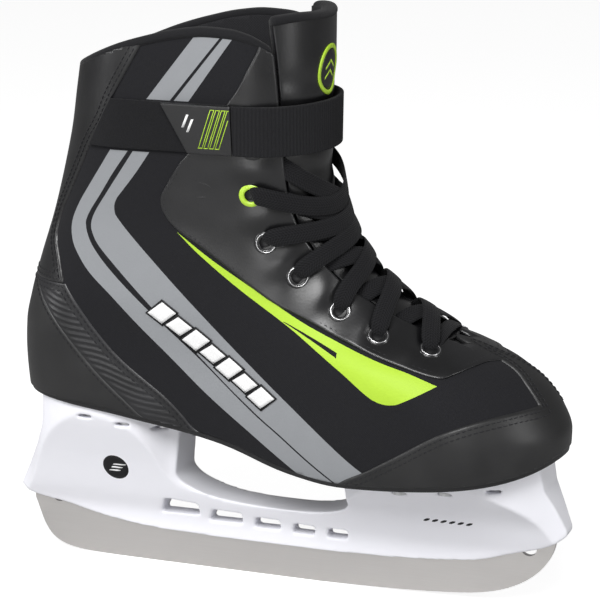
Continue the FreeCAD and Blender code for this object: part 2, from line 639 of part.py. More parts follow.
def flare(profile, x0, x1):
    """Cross-section of the holder, the same on both sides, drawn out along X."""
    right = [Vector(x0, half, z) for z, half in profile]
    left = [Vector(x0, -half, z) for z, half in profile]
    edges = [spline(right), spline(left), Part.LineSegment(right[0], left[0]).toShape(),
             Part.LineSegment(right[-1], left[-1]).toShape()]
    return plate(Part.Wire(Part.__sortEdges__(edges)), Vector(x1 - x0, 0, 0))


REACH = 60.0                # half width of the blocks that form the holder
holder = plate(closed_outline(holder_bottom, holder_ends, -REACH), Vector(0, 2 * REACH, 0))
window = plate(closed_outline(window_bottom, window_top, -REACH), Vector(0, 2 * REACH, 0))
holder = holder.cut(window)
right = [Vector(along(x), half, 0) for x, half in plan_outline]
left = [Vector(along(x), -half, 0) for x, half in plan_outline]
plan = Part.__sortEdges__([spline(right), spline(left), Part.LineSegment(right[0], left[0]).toShape(),
                           Part.LineSegment(right[-1], left[-1]).toShape()])
holder = holder.common(plate(Part.Wire(plan), Vector(0, 0, 120)))
heel_end = holder.common(flare(heel_flare, along(-160), 0))
toe_end = holder.common(flare(toe_flare, 0, along(160)))
holder = heel_end.fuse(toe_end).removeSplitter().common(under_sole(0))
for slot in SLOTS:
    corners = level_points(slot, -REACH)
    holder = holder.cut(plate(Part.makePolygon(corners + [corners[0]]), Vector(0, 2 * REACH, 0)))


def hollow(x0, x1, low, half_low, high, half_high):
    """Lightening hollow in a tower, open at the top, under the sole."""
    corners = [Vector(x0, -half_low, low), Vector(x0, half_low, low), Vector(x0, half_high, high),
               Vector(x0, -half_high, high)]
    return plate(Part.makePolygon(corners + [corners[0]]), Vector(x1 - x0, 0, 0))


holder = holder.cut(hollow(along(-112), along(-72), 50, 6, 110, 16))
holder = holder.cut(hollow(along(54), along(118), 46, 6, 90, 24))


def rivet(x, y):
    """Rivet through the holder's flange, outsole and insole board, and the pocket for its head."""
    sole = sole_height(x)
    seat = sole - FLANGE_DEPTH
    top = sole + BOARD_TOP
    body = Part.makeCylinder(RIVET_HEAD_RADIUS, RIVET_HEAD_THICKNESS, Vector(x, y, seat - RIVET_HEAD_THICKNESS))
    body = body.fuse(Part.makeCylinder(SHANK_RADIUS, top - seat + 0.2, Vector(x, y, seat)))
    body = body.fuse(Part.makeCylinder(CLINCH_RING_RADIUS, CLINCH_RING_THICKNESS, Vector(x, y, top - 0.2)))
    reach = RIVET_HEAD_RADIUS + POCKET_CLEARANCE
    height = RIVET_HEAD_THICKNESS + POCKET_CLEARANCE
    outer = 40 if y > 0 else -40
    pocket = block(x - reach, x + reach, min(y - math.copysign(reach, y), outer),
                   max(y - math.copysign(reach, y), outer), seat - height, seat)
    return body.removeSplitter(), pocket


def fasten(name, places):
    global holder
    bodies = []
    for x, y in places:
        for side_sign in (-1, 1):
            body, pocket = rivet(along(x), side_sign * y)
            holder = holder.cut(pocket).cut(body)
            for part in ("outsole", "insole_board"):
                pieces[part] = pieces[part].cut(body)
            bodies.append(body)
    pieces[name] = Part.makeCompound(bodies)


fasten("heel_rivets", HEEL_RIVETS)
fasten("toe_rivets", TOE_RIVETS)
pieces["blade_holder"] = holder.cut(steel)

for name in ("quarter", "eyestay", "heel_panel"):
    pieces[name + "_medial"] = mirrored(pieces[name + "_lateral"])

for name, shape in pieces.items():
    print(name, len(shape.Solids), round(shape.Volume, 1), shape.isValid())
os.makedirs("parts", exist_ok=True)
box = Part.makeCompound(list(pieces.values())).BoundBox
print("whole skate", box)
y_out = side(along(STRAP_HINGE_X), up(STRAP_HIGH), -strap_out)
print("strap hinge", round(along(STRAP_HINGE_X), 3), round(y_out, 3))
y_tab = side(along(TAB_FRONT_X), up(STRAP_HIGH), -STRAP_INNER - TAB_THICKNESS)
print("tab hinge", round(along(TAB_FRONT_X), 3), round(-y_tab, 3))
for name, shape in pieces.items():
    shape.exportStep("parts/" + name + ".step")
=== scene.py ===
import math

import bmesh
import bpy
import numpy as np
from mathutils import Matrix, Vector
from mathutils.bvhtree import BVHTree


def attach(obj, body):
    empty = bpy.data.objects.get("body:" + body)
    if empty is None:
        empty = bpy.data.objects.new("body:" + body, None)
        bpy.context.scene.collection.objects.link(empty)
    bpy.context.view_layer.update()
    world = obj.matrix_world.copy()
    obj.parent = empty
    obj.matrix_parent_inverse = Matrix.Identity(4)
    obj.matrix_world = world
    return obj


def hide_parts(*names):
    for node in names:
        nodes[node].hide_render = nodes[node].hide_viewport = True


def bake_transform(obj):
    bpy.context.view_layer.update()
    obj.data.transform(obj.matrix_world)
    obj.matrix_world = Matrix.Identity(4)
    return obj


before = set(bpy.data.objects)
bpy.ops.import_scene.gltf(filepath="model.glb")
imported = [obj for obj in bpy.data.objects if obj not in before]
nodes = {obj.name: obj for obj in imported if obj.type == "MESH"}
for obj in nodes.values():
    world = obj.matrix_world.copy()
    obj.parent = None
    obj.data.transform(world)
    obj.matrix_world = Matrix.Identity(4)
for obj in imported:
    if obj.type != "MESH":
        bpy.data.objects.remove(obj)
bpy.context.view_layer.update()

# Ice skate for the right foot.  Shapes are worked out in millimetres and scaled when a mesh is made.
# +X toe, +Y inner side, +Z up, ground at 0.
mm = 0.001


# smooth curve through (t, value) points that never overshoots them
def smoothCurve(*points):
    t, v = np.array(points, float).T
    h = np.diff(t)
    d = np.diff(v) / h
    m = np.zeros(len(t))
    m[0], m[-1] = d[0], d[-1]
    for i in range(1, len(t) - 1):
        if d[i - 1] * d[i] > 0:
            w1, w2 = 2 * h[i] + h[i - 1], h[i] + 2 * h[i - 1]
            m[i] = (w1 + w2) / (w1 / d[i - 1] + w2 / d[i])

    def value(x):
        x = np.asarray(x, float)
        i = np.clip(np.searchsorted(t, x, side="right") - 1, 0, len(h) - 1)
        s = np.clip((x - t[i]) / h[i], 0, 1)
        inside = (v[i] * (1 + 2 * s) * (1 - s) ** 2 + m[i] * h[i] * s * (1 - s) ** 2
                  + v[i + 1] * s * s * (3 - 2 * s) + m[i + 1] * h[i] * s * s * (s - 1))
        return inside + m[0] * np.minimum(x - t[0], 0) + m[-1] * np.maximum(x - t[-1], 0)

    return value


# side outlines and widths of the boot
backEdge = smoothCurve((60, -136), (80, -138.5), (95, -140.5), (115, -141.5), (128, -140.8), (143, -137.4),
                       (162, -131.7), (186, -123.7), (210, -116.9), (233, -111.3), (250, -108.5),
                       (265, -106), (300, -101))
frontEdge = smoothCurve((60, 140), (70, 143.5), (80, 146), (92, 146.5), (103, 142.5), (113, 135.5),
                        (124, 122.5), (131, 106), (137, 90), (142, 78), (152, 61), (165, 45), (180, 33.5),
                        (195, 26.5), (210, 23.2), (230, 22.2), (300, 22.5))
soleHeight = smoothCurve((-141, 92), (-113, 90.5), (-91, 88), (-65, 84), (-44, 81), (-26, 78), (18, 67),
                         (38, 65), (58, 66), (88, 69), (116, 73), (135, 77.5), (146, 83))
collarHeight = smoothCurve((-125, 255), (-106, 263), (-86, 271.8), (-73, 276.8), (-57, 281.4), (-41, 285),
                           (-26, 286.6), (-13, 286), (-4, 284), (5, 279), (16, 268))
tongueTop = smoothCurve((-20, 283), (-9, 286), (0, 290), (10, 293), (17, 293.5), (30, 291))
frontRound = smoothCurve((60, 46), (95, 50), (110, 60), (125, 76), (138, 84), (150, 74), (165, 56),
                         (185, 42), (205, 34), (230, 31), (300, 31))
backRound = smoothCurve((60, 36), (120, 38), (180, 40), (300, 42))
footHalf = smoothCurve((-141, 33), (-110, 33.5), (-80, 33), (-45, 32.5), (-10, 36), (30, 43), (60, 47),
                       (90, 48), (125, 46), (147, 44))
shaftHalf = smoothCurve((110, 38), (140, 37), (165, 35), (185, 34.5), (205, 36), (230, 39), (250, 41),
                        (275, 42.5), (300, 43))
throatHalf = smoothCurve((134, 9.5), (150, 16.5), (180, 23.5), (224, 30.5), (300, 39))


def halfWidth(x, z):
    rise = np.clip(z - soleHeight(x), 0, 30) / 30
    foot = footHalf(x) * (0.90 + 0.10 * np.sqrt(1 - (1 - rise) ** 2))
    s = np.clip((z - 112) / 55, 0, 1)
    blend = s * s * (3 - 2 * s)
    return foot * (1 - blend) + shaftHalf(z) * blend


# a place on the boot: angle 0 is the heel and a half turn the toe, over the outer side,
# and out is the height above the skin
def bootPoint(angle, z, out=0.0):
    slope = frontEdge(z + 0.5) - frontEdge(z - 0.5)
    low, high = backEdge(z) - out, frontEdge(z) + out * np.sqrt(1 + slope * slope)
    x = (low + high) / 2 - (high - low) / 2 * np.cos(angle)
    front = 1 - np.clip((high - x) / frontRound(z), 0, 1)
    rear = 1 - np.clip((x - low) / backRound(z), 0, 1)
    side = (halfWidth(x, z) + out) * np.sqrt(np.clip((1 - front ** 2) * (1 - rear ** 2), 0, None))
    return np.stack([x, -np.sign(np.sin(angle)) * side, z + 0 * x], -1)


def makeMesh(name, points, faces, smooth=True, tags=None, materials=()):
    mesh = bpy.data.meshes.new(name)
    mesh.from_pydata([tuple(p) for p in np.asarray(points) * mm], [],
                     [tuple(int(i) for i in f) for f in faces])
    if smooth:
        mesh.polygons.foreach_set("use_smooth", [True] * len(mesh.polygons))
    for material in materials:
        mesh.materials.append(material)
    if tags is not None:
        mesh.polygons.foreach_set("material_index", tags)
    mesh.update()
    piece = bpy.data.objects.new(name, mesh)
    bpy.context.scene.collection.objects.link(piece)
    return piece


def addAttribute(piece, name, values):
    layer = piece.data.attributes.new(name, "FLOAT", "POINT")
    layer.data.foreach_set("value", np.asarray(values, np.float32))


# hands a finished piece to the frame
def place(piece, body="root", instead=(), slot=None):
    if body:
        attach(piece, body)
    if instead:
        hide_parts(*instead)
    return piece


# seams and zones: each is a function of points, positive inside, in millimetres from its edge
def curveThrough(points, steps=10):
    p = np.array(points, float)
    p = np.vstack([2 * p[0] - p[1], p, 2 * p[-1] - p[-2]])
    out = []
    for a, b, c, d in zip(p, p[1:], p[2:], p[3:]):
        for s in np.linspace(0, 1, steps, endpoint=False):
            out.append(0.5 * (2 * b + (c - a) * s + (2 * a - 5 * b + 4 * c - d) * s ** 2
                              + (3 * b - a - 3 * c + d) * s ** 3))
    return np.array(out + [p[-2]])


# signed distance to a line in a flat view: positive on its left
def leftOf(points, axes=(0, 2), smooth=True, reach=60):
    line = curveThrough(points) if smooth else np.array(points, float)
    first, last = line[0] - line[1], line[-1] - line[-2]
    line = np.vstack([line[0] + first / np.linalg.norm(first) * reach, line,
                      line[-1] + last / np.linalg.norm(last) * reach])
    a, step = line[:-1], np.diff(line, axis=0)
    size = (step ** 2).sum(1)

    def distance(points3):
        best = np.full(len(points3), 1e9)
        sign = np.ones(len(points3))
        q = points3[:, axes]
        for start, s, n in zip(a, step, size):
            r = q - start
            t = np.clip((r @ s) / n, 0, 1)
            gap = np.linalg.norm(r - t[:, None] * s, axis=1)
            near = gap < best - 1e-9
            best = np.where(near, gap, best)
            sign = np.where(near, np.sign(s[0] * r[:, 1] - s[1] * r[:, 0]), sign)
        return best * sign

    return distance


def bothOf(*zones):
    return lambda p: np.min([zone(p) for zone in zones], axis=0)


def eitherOf(*zones):
    return lambda p: np.max([zone(p) for zone in zones], axis=0)


def notIn(zone):
    return lambda p: -zone(p)


def aboveSole(gap):
    return lambda p: p[:, 2] - soleHeight(p[:, 0]) - gap


def belowCollar(gap):
    return lambda p: collarHeight(p[:, 0]) - gap - p[:, 2]


def between(low, high, axis=2):
    return lambda p: np.minimum(p[:, axis] - low, high - p[:, axis])


def outsideThroat(margin):
    return lambda p: np.where(p[:, 0] < -14, 50.0,
                              np.maximum(np.abs(p[:, 1]) - throatHalf(p[:, 2]) - margin,
                                         134 - margin - p[:, 2]))


seams = {
    "toe": leftOf([(28, 55), (43.2, 68.4), (56, 75.7), (73, 86.2), (92.2, 98.1), (105.3, 103.8),
                   (117.1, 106.9),
                   (130, 108.8), (150, 109.6)][::-1]),
    "peak": leftOf([(90, 0), (98, -4), (113, -6.5), (123, -9.5), (131, -14), (150, -19)], axes=(0, 1)),
    "peakMirror": leftOf([(90, 0), (98, 4), (113, 6.5), (123, 9.5), (131, 14), (150, 19)][::-1], axes=(0, 1)),
    "eyestay": leftOf([(125, 124.5), (111, 128), (103.6, 127.3), (96.8, 125.3), (90.7, 124.1), (75.7, 127.7),
                       (60.1, 132.2), (39.6, 139.3), (19.7, 147.8), (2.2,
                                                                     155.6), (-27.2, 175.1), (-45.1, 186.2),
                       (-51.9, 194.4), (-53.1, 201.2), (-50.2, 207.2), (-42.3, 219.4), (-35.9, 226.5),
                       (-12.7, 254.3), (-4.6, 267.7), (2, 282), (5, 305)][::-1]),
    "counter": leftOf([(-42, 72), (-50.4, 81), (-58.6, 83.4), (-66.3, 87.3), (-74.2, 94.3), (-90.3, 109.1),
                       (-105.2, 126.2), (-117.6, 140.8), (-128, 154)]),
    "ribs": leftOf([(-22, 72), (-27.8, 77.9), (-38.6, 84.2), (-44.5, 90.8), (-54.3, 100.1), (-76.1, 116.3),
                    (-88.7, 129.8), (-99.1, 143.9), (-106.5, 154)]),
    "stay": leftOf([(-106.5, 152), (-110.8, 165.7), (-114.5, 176), (-112.5, 187), (-106.5, 198),
                    (-96.3, 215.7),
                    (-90.6, 226.1), (-81.3, 239.7), (-75, 251.7), (-62.6, 271.3), (-50, 292)]),
}
heelPanelTop = 154
underHeelTop = between(0, heelPanelTop)
toeZone = eitherOf(seams["toe"], bothOf(seams["peak"], seams["peakMirror"], between(100, 150)))


# a patch of the boot's skin, kept as angles and heights until it is given its thickness
class Skin:
    def __init__(self, zones, angles=(0, 2 * math.pi), heights=(60, 292), step=2.0):
        columns = max(8, int(round((angles[1] - angles[0]) / (2 * math.pi) * 850 / step)))
        rows = [heights[0]]
        while rows[-1] < heights[1]:
            z = rows[-1]
            slope = abs(frontEdge(z + 1) - frontEdge(z - 1)) / 2
            rows.append(min(heights[1], z + step / math.sqrt(1 + 0.45 * slope * slope)))
        angle, height = np.meshgrid(np.linspace(*angles, columns + 1), np.array(rows), indexing="ij")
        n = len(rows)
        i, j = np.meshgrid(np.arange(columns), np.arange(n - 1), indexing="ij")
        corner = (i * n + j).ravel()
        quads = np.stack([corner, corner + n, corner + n + 1, corner + 1], 1)
        spots = bootPoint(angle.ravel(), height.ravel())
        keep = np.ones(len(quads), bool)
        for zone in zones:
            keep &= zone(spots)[quads].max(1) > 0
        used, packed = np.unique(quads[keep], return_inverse=True)
        self.angle, self.height = list(angle.ravel()[used]), list(height.ravel()[used])
        self.faces = [tuple(f) for f in packed.reshape(-1, 4).tolist()]
        self.tags = [0] * len(self.faces)
        for zone in zones:
            self.cut(zone)

    def spots(self, out=0.0):
        return bootPoint(np.array(self.angle), np.array(self.height), out)

    # cuts the patch along a zone's edge, and keeps the inside, or both sides with the inside tagged
    def cut(self, zone, level=0.0, keepAll=False, tag=None):
        value = (zone(self.spots()) - level).tolist()
        made, faces, tags, line = {}, [], [], []
        for face, old in zip(self.faces, self.tags):
            inside = [value[i] > 0 for i in face]
            if all(inside) or not any(inside):
                if inside[0] or keepAll:
                    faces.append(face)
                    tags.append(tag if inside[0] and tag is not None else old)
                continue
            inner, outer, crossing = [], [], []
            for k, a in enumerate(face):
                b = face[(k + 1) % len(face)]
                (inner if inside[k] else outer).append(a)
                if inside[k] != inside[(k + 1) % len(face)]:
                    key = (min(a, b), max(a, b))
                    if key not in made:
                        s = value[key[0]] / (value[key[0]] - value[key[1]])
                        made[key] = len(self.angle)
                        for values in (self.angle, self.height):
                            values.append(values[key[0]] * (1 - s) + values[key[1]] * s)
                    inner.append(made[key])
                    outer.append(made[key])
                    crossing.append(made[key])
            faces.append(tuple(inner))
            tags.append(old if tag is None else tag)
            if keepAll:
                faces.append(tuple(outer))
                tags.append(old)
            if len(crossing) == 2:
                line.append(crossing)
        self.faces, self.tags = faces, tags
        return line

    # the lines at a distance inside a zone's edge, as chains of points
    def lines(self, zone, level, out):
        chains = []
        links = {}
        for a, b in self.cut(zone, level, keepAll=True):
            links.setdefault(a, []).append(b)
            links.setdefault(b, []).append(a)
        while links:
            start = next((k for k, v in links.items() if len(v) == 1), next(iter(links)))
            chain = [start]
            while links.get(chain[-1]):
                here = chain[-1]
                there = links[here].pop()
                links[there].remove(here)
                chain.append(there)
                if not links[here]:
                    del links[here]
            links.pop(chain[-1], None)
            ids = np.array(chain)
            chains.append(bootPoint(np.array(self.angle)[ids], np.array(self.height)[ids], out))
        return [c for c in chains if len(c) > 3]

    # a closed shell: top and bottom are heights above the skin, numbers or one per vertex
    def shell(self, name, top, bottom, materials, edge=None, roll=0.0, rollDepth=0.0, extra=None):
        if edge is not None and roll > 0:
            for share in (1.0, 0.6, 0.25):
                self.cut(edge, roll * share, keepAll=True)
        spots = self.spots()
        distance = edge(spots) if edge is not None else np.full(len(spots), 50.0)
        height = np.zeros(len(spots)) + (top(spots) if callable(top) else top)
        base = np.zeros(len(spots)) + (bottom(spots) if callable(bottom) else bottom)
        if roll > 0:
            s = 1 - np.clip(distance / roll, 0, 1)
            height = height - rollDepth * (1 - np.sqrt(1 - s * s))
        upper, lower = self.spots(height), self.spots(base)
        merged, keys = {}, []
        for i, p in enumerate(np.round(upper, 3).tolist()):
            keys.append(merged.setdefault(tuple(p), i))
        faces, tags = [], []
        for face, tag in zip(self.faces, self.tags):
            ring = [keys[i] for i in face]
            ring = [a for k, a in enumerate(ring) if a != ring[k - 1]]
            if len(set(ring)) > 2:
                faces.append(ring)
                tags.append(tag)
        sides = {}
        for face in faces:
            for a, b in zip(face, face[1:] + face[:1]):
                sides[(a, b)] = sides.get((a, b), 0) + 1
        n = len(upper)
        walls = [(b, a, a + n, b + n) for a, b in sides if (b, a) not in sides]
        wallTags = [0] * len(walls)
        under = [tuple(i + n for i in reversed(face)) for face in faces]
        allFaces = [tuple(f) for f in faces] + under + walls
        allTags = tags + [0] * len(under) + wallTags
        used, packed = np.unique(np.concatenate([np.array(f) for f in allFaces]), return_inverse=True)
        ends = np.cumsum([len(f) for f in allFaces])[:-1]
        packedFaces = np.split(packed, ends)
        points = np.vstack([upper, lower])[used]
        piece = makeMesh(name, points, packedFaces, True, allTags, materials)
        addAttribute(piece, "edge", np.concatenate([distance, distance])[used])
        for label, field in (extra or {}).items():
            values = field(spots)
            addAttribute(piece, label, np.concatenate([values, values])[used])
        return piece


# materials
class Sock:
    def __init__(self, graph, socket):
        self.graph, self.socket = graph, socket

    def math(self, operation, a, b):
        return self.graph.add("ShaderNodeMath", {"operation": operation}, [a, b])

    def __add__(self, other):
        return self.math("ADD", self, other)

    def __radd__(self, other):
        return self.math("ADD", other, self)

    def __sub__(self, other):
        return self.math("SUBTRACT", self, other)

    def __rsub__(self, other):
        return self.math("SUBTRACT", other, self)

    def __mul__(self, other):
        return self.math("MULTIPLY", self, other)

    def __rmul__(self, other):
        return self.math("MULTIPLY", other, self)

    def __truediv__(self, other):
        return self.math("DIVIDE", self, other)

    def __rtruediv__(self, other):
        return self.math("DIVIDE", other, self)

    def __pow__(self, other):
        return self.math("POWER", self, other)


class Graph:
    def __init__(self, name):
        self.material = bpy.data.materials.new(name)
        self.material.use_nodes = True
        self.tree = self.material.node_tree
        self.tree.nodes.clear()

    def add(self, kind, settings=None, inputs=(), out=0):
        node = self.tree.nodes.new(kind)
        for key, value in (settings or {}).items():
            setattr(node, key, value)
        for key, value in (inputs.items() if isinstance(inputs, dict) else enumerate(inputs)):
            if isinstance(value, Sock):
                self.tree.links.new(value.socket, node.inputs[key])
            elif value is not None:
                node.inputs[key].default_value = value
        return Sock(self, node.outputs[out] if len(node.outputs) else None)

    def spot(self):  # the place on the object, in metres
        return self.add("ShaderNodeTexCoord", out="Object")

    def axes(self):
        split = self.add("ShaderNodeSeparateXYZ", None, [self.spot()])
        return [Sock(self, split.socket.node.outputs[k]) for k in range(3)]

    def attribute(self, name):
        return self.add("ShaderNodeAttribute", {"attribute_name": name}, out="Fac")

    def noise(self, scale, detail=2.0, stretch=None):
        where = self.spot()
        if stretch:
            where = self.add("ShaderNodeVectorMath", {"operation": "MULTIPLY"}, [where, stretch])
        return self.add("ShaderNodeTexNoise", None, {"Vector": where, "Scale": scale, "Detail": detail})

    def cells(self, scale):
        return self.add("ShaderNodeTexVoronoi", {"feature": "SMOOTH_F1"},
                        {"Vector": self.spot(), "Scale": scale})

    def wave(self, phase):
        return self.add("ShaderNodeMath", {"operation": "SINE"}, [phase])

    def ramp(self, value, low, high, atLow=0.0, atHigh=1.0):
        return self.add("ShaderNodeMapRange", {"interpolation_type": "SMOOTHSTEP"},
                        [value, low, high, atLow, atHigh])

    def blend(self, share, a, b):
        colours = [c if isinstance(c, Sock) else (*c, 1.0) for c in (a, b)]
        return self.add("ShaderNodeMix", {"data_type": "RGBA"}, {0: share, 6: colours[0], 7: colours[1]},
                        out=2)

    def relief(self, height, depth, strength=1.0):
        return self.add("ShaderNodeBump", None, {"Height": height, "Distance": depth * mm,
                                                 "Strength": strength})

    def finish(self, **sockets):
        names = {"colour": "Base Color", "rough": "Roughness", "metal": "Metallic", "normal": "Normal",
                 "coat": "Coat Weight", "coatRough": "Coat Roughness", "sheen": "Sheen Weight",
                 "specular": "Specular IOR Level", "glow": "Emission Color",
                 "glowStrength": "Emission Strength"}
        shader = self.add("ShaderNodeBsdfPrincipled", None, {names[k]: v for k, v in sockets.items()})
        self.add("ShaderNodeOutputMaterial", None, [shader])
        return self.material


def leather(name, colour, light, rough, grain=0.05, gloss=0.15):
    g = Graph(name)
    cells, fine, broad = g.cells(950), g.noise(2600, 3), g.noise(45, 2)
    edge = g.attribute("edge")
    # painted highlight: the leather colour is lightened within about a millimetre of every panel edge, up to
    # 2.2 times the light tone, broken up by noise
    paintedEdgeHighlight = g.ramp(edge, 0.1, 1.1, 1.0, 0.0) * (0.35 + 0.65 * g.noise(160, 2))
    shade = g.blend(g.ramp(broad, 0.35, 0.7), colour, light)
    tint = g.blend(paintedEdgeHighlight * 0.45, shade, tuple(min(1, c * 2.2) for c in light))
    height = cells * 0.55 + fine * 0.3
    return g.finish(colour=tint, rough=rough + 0.10 * broad + 0.06 * cells - 0.05 * paintedEdgeHighlight,
                    normal=g.relief(height, grain), coat=gloss, coatRough=0.35, specular=0.5)


def fabric(name, colour, light, weave=0.9, depth=0.06, rough=0.85, sheen=0.25):
    g = Graph(name)
    x, y, z = g.axes()
    turn = 2 * math.pi / (weave * mm)
    across, upward = g.wave((x + y * 0.7) * turn), g.wave((z + y * 0.3) * turn)
    threads = across * upward * 0.5 + 0.5
    speck = g.noise(1500, 3)
    tint = g.blend(threads * 0.45 + speck * 0.55, colour, light)
    return g.finish(colour=tint, rough=rough, normal=g.relief(threads + speck * 0.8, depth),
                    sheen=sheen * 0.2,
                    specular=0.12)


def plastic(name, colour, rough, bumpDepth=0.01, coat=0.0, patch=0.03):
    g = Graph(name)
    broad, fine = g.noise(35, 2), g.noise(900, 2)
    tint = g.blend(broad, tuple(max(0, c - patch) for c in colour), tuple(min(1, c + patch) for c in colour))
    return g.finish(colour=tint, rough=rough + 0.08 * broad + 0.04 * fine, normal=g.relief(fine, bumpDepth),
                    coat=coat,
                    coatRough=0.2)


def metal(name, colour, rough, lines=(1, 1, 1), depth=0.004, scale=900):
    g = Graph(name)
    brushed, broad = g.noise(scale, 4, lines), g.noise(18, 2)
    tint = g.blend(brushed * 0.6 + broad * 0.4, tuple(c * 0.88 for c in colour), colour)
    return g.finish(colour=tint, metal=1.0, rough=rough + 0.12 * brushed, normal=g.relief(brushed, depth))


def laceCloth(name):
    g = Graph(name)
    along, across = g.attribute("along"), g.attribute("across")
    arms = g.add("ShaderNodeMath", {"operation": "ABSOLUTE"}, [across])
    braid = g.wave((along + arms * 0.8) * (2 * math.pi / 1.5)) * 0.5 + 0.5
    ridges = g.wave(across * (2 * math.pi / 1.3)) * 0.5 + 0.5
    height = braid * 0.6 + ridges * 0.4 + g.noise(2200, 2) * 0.4
    tint = g.blend(height, (0.003, 0.003, 0.0035), (0.013, 0.013, 0.0145))
    return g.finish(colour=tint, rough=0.9, normal=g.relief(height, 0.22), sheen=0.05, specular=0.15)


# ink on top of the fabric: speckled colour and a fine bump
def printed(name, colour, rough=0.55):
    g = Graph(name)
    speck, broad = g.noise(1700, 3), g.noise(90, 2)
    tint = g.blend(speck * 0.6 + broad * 0.4, tuple(c * 0.86 for c in colour), colour)
    return g.finish(colour=tint, rough=rough + 0.1 * speck, normal=g.relief(speck, 0.05), specular=0.3)


looks = {
    "quarter": fabric("quarter_fabric", (0.006, 0.006, 0.007), (0.021, 0.021, 0.024)),
    "stripe": printed("stripe_print", (0.275, 0.285, 0.300)),
    "lime": printed("lime_print", (0.440, 0.680, 0.040), 0.45),
    "white": printed("white_print", (0.86, 0.86, 0.86)),
    "ink": printed("black_print", (0.008, 0.008, 0.009)),
    "upper": leather("upper_leather", (0.0035, 0.0035, 0.004), (0.007, 0.007, 0.008), 0.25, gloss=0.35),
    "guard": leather("guard_leather", (0.009, 0.009, 0.0095), (0.014, 0.014, 0.0145), 0.38, grain=0.03,
                     gloss=0.1),
    "ribbed": leather("ribbed_panel", (0.008, 0.008, 0.009), (0.014, 0.014, 0.016), 0.32, grain=0.02),
    "lining": fabric("lining_fabric", (0.010, 0.010, 0.011), (0.030, 0.030, 0.033), weave=1.4, depth=0.12),
    "foam": fabric("foam_cover", (0.012, 0.012, 0.013), (0.03, 0.03, 0.032), weave=2.0, depth=0.1),
    "binding": fabric("binding_cloth", (0.006, 0.006, 0.007), (0.020, 0.020, 0.022), weave=0.8, depth=0.1,
                      sheen=0.4),
    "webbing": fabric("strap_webbing_cloth", (0.005, 0.005, 0.006), (0.024, 0.024, 0.026), weave=0.7,
                      depth=0.08,
                      sheen=0.2),
    "loops": fabric("hook_and_loop", (0.004, 0.004, 0.005), (0.022, 0.022, 0.024), weave=0.6, depth=0.2,
                    rough=0.95),
    "lace": laceCloth("lace_cloth"),
    "thread": fabric("seam_thread", (0.008, 0.008, 0.009), (0.04, 0.04, 0.044), weave=0.35, depth=0.05,
                     rough=0.6),
    "eyelet": plastic("eyelet_enamel", (0.012, 0.012, 0.013), 0.22, coat=0.4, patch=0.004),
    "limeEyelet": plastic("lime_enamel", (0.46, 0.70, 0.05), 0.28, coat=0.3),
    "limeRubber": plastic("lime_badge", (0.44, 0.68, 0.04), 0.45),
    "blackRubber": plastic("black_badge", (0.010, 0.010, 0.011), 0.40, patch=0.004),
    "ring": metal("ring_metal", (0.78, 0.78, 0.79), 0.22),
    "rivet": metal("rivet_metal", (0.62, 0.62, 0.63), 0.30),
    "steel": metal("runner_steel", (0.80, 0.775, 0.755), 0.30, lines=(0.05, 1, 3.0), depth=0.012, scale=700),
    "holder": plastic("holder_plastic", (0.85, 0.85, 0.90), 0.34, bumpDepth=0.006, coat=0.12, patch=0.012),
    "sole": plastic("outsole_plastic", (0.012, 0.012, 0.013), 0.38, patch=0.004),
    "fibre": fabric("insole_fibre", (0.10, 0.07, 0.045), (0.19, 0.14, 0.09), weave=1.1, depth=0.05),
    "bed": fabric("footbed_cloth", (0.030, 0.030, 0.033), (0.08, 0.08, 0.085), weave=1.2, depth=0.1),
    "stiffener": plastic("stiffener_plastic", (0.05, 0.05, 0.055), 0.5),
}
for node, look in {"runner": "steel", "heel_rivets": "rivet", "toe_rivets": "rivet", "outsole": "sole",
                   "insole_board": "fibre", "heel_stiffener": "stiffener", "toe_puff": "stiffener"}.items():
    nodes[node].data.materials.clear()
    nodes[node].data.materials.append(looks[look])
print("materials", len(looks))

# the upper's panels
upper = {"fabricTop": -0.5, "overlayTop": 0.35, "ribTop": 0.0, "under": -2.0, "roll": 1.1, "rollDepth": 0.9,
         "overlap": 5.0, "soleGap": 2.4, "bindingHeight": 3.2}
ribs = {"pitch": 3.1, "depth": 0.5, "slope": -0.22}
stitch = {"rows": (2.0, 4.4), "pitch": 3.0, "length": 2.2, "radius": 0.28}
half = (0.0, math.pi)
otherHalf = (math.pi, 2 * math.pi)
eyelets = {"rows": [(82.7, 134.6), (57.8, 140.5), (38.0, 150.8), (16.9, 166.4), (1.5, 182.7), (-5.3, 206.0),
                    (-3.5, 229.3)],
           "coloured": 5}


def onSide(x, z):
    low, high = float(backEdge(z)), float(frontEdge(z))
    angle = math.acos(((low + high) / 2 - x) / ((high - low) / 2))
    return bootPoint(np.array([angle]), np.array([z]))[0]


eyeletSpots = np.array([onSide(x, z) for x, z in eyelets["rows"]])
skin = Skin([], heights=(62, 298), step=3.0)
skinPoints = bootPoint(np.array(skin.angle), np.array(skin.height))
skinTree = BVHTree.FromPolygons([tuple(p) for p in skinPoints], skin.faces)


# leather pulled in at each eyelet and swelling between them
def puckers(p):
    q = np.stack([p[:, 0], -np.abs(p[:, 1]), p[:, 2]], 1)
    lift = np.zeros(len(p))
    for spot in eyeletSpots:
        lift -= 0.75 * np.exp(-(np.linalg.norm(q - spot, axis=1) / 7.0) ** 2)
    for a, b in zip(eyeletSpots, eyeletSpots[1:]):
        step = (b - a) / np.linalg.norm(b - a)
        r = q - (a + b) / 2
        reach = r @ step
        aside = np.linalg.norm(r - reach[:, None] * step, axis=1)
        lift += 0.9 * np.exp(-(reach / 5.5) ** 2 - (aside / 12.0) ** 2)
    wave = np.sin(p[:, 0] * 0.21 + p[:, 2] * 0.13) * np.sin(p[:, 2] * 0.17 - p[:, 0] * 0.05)
    return lift + 0.12 * wave


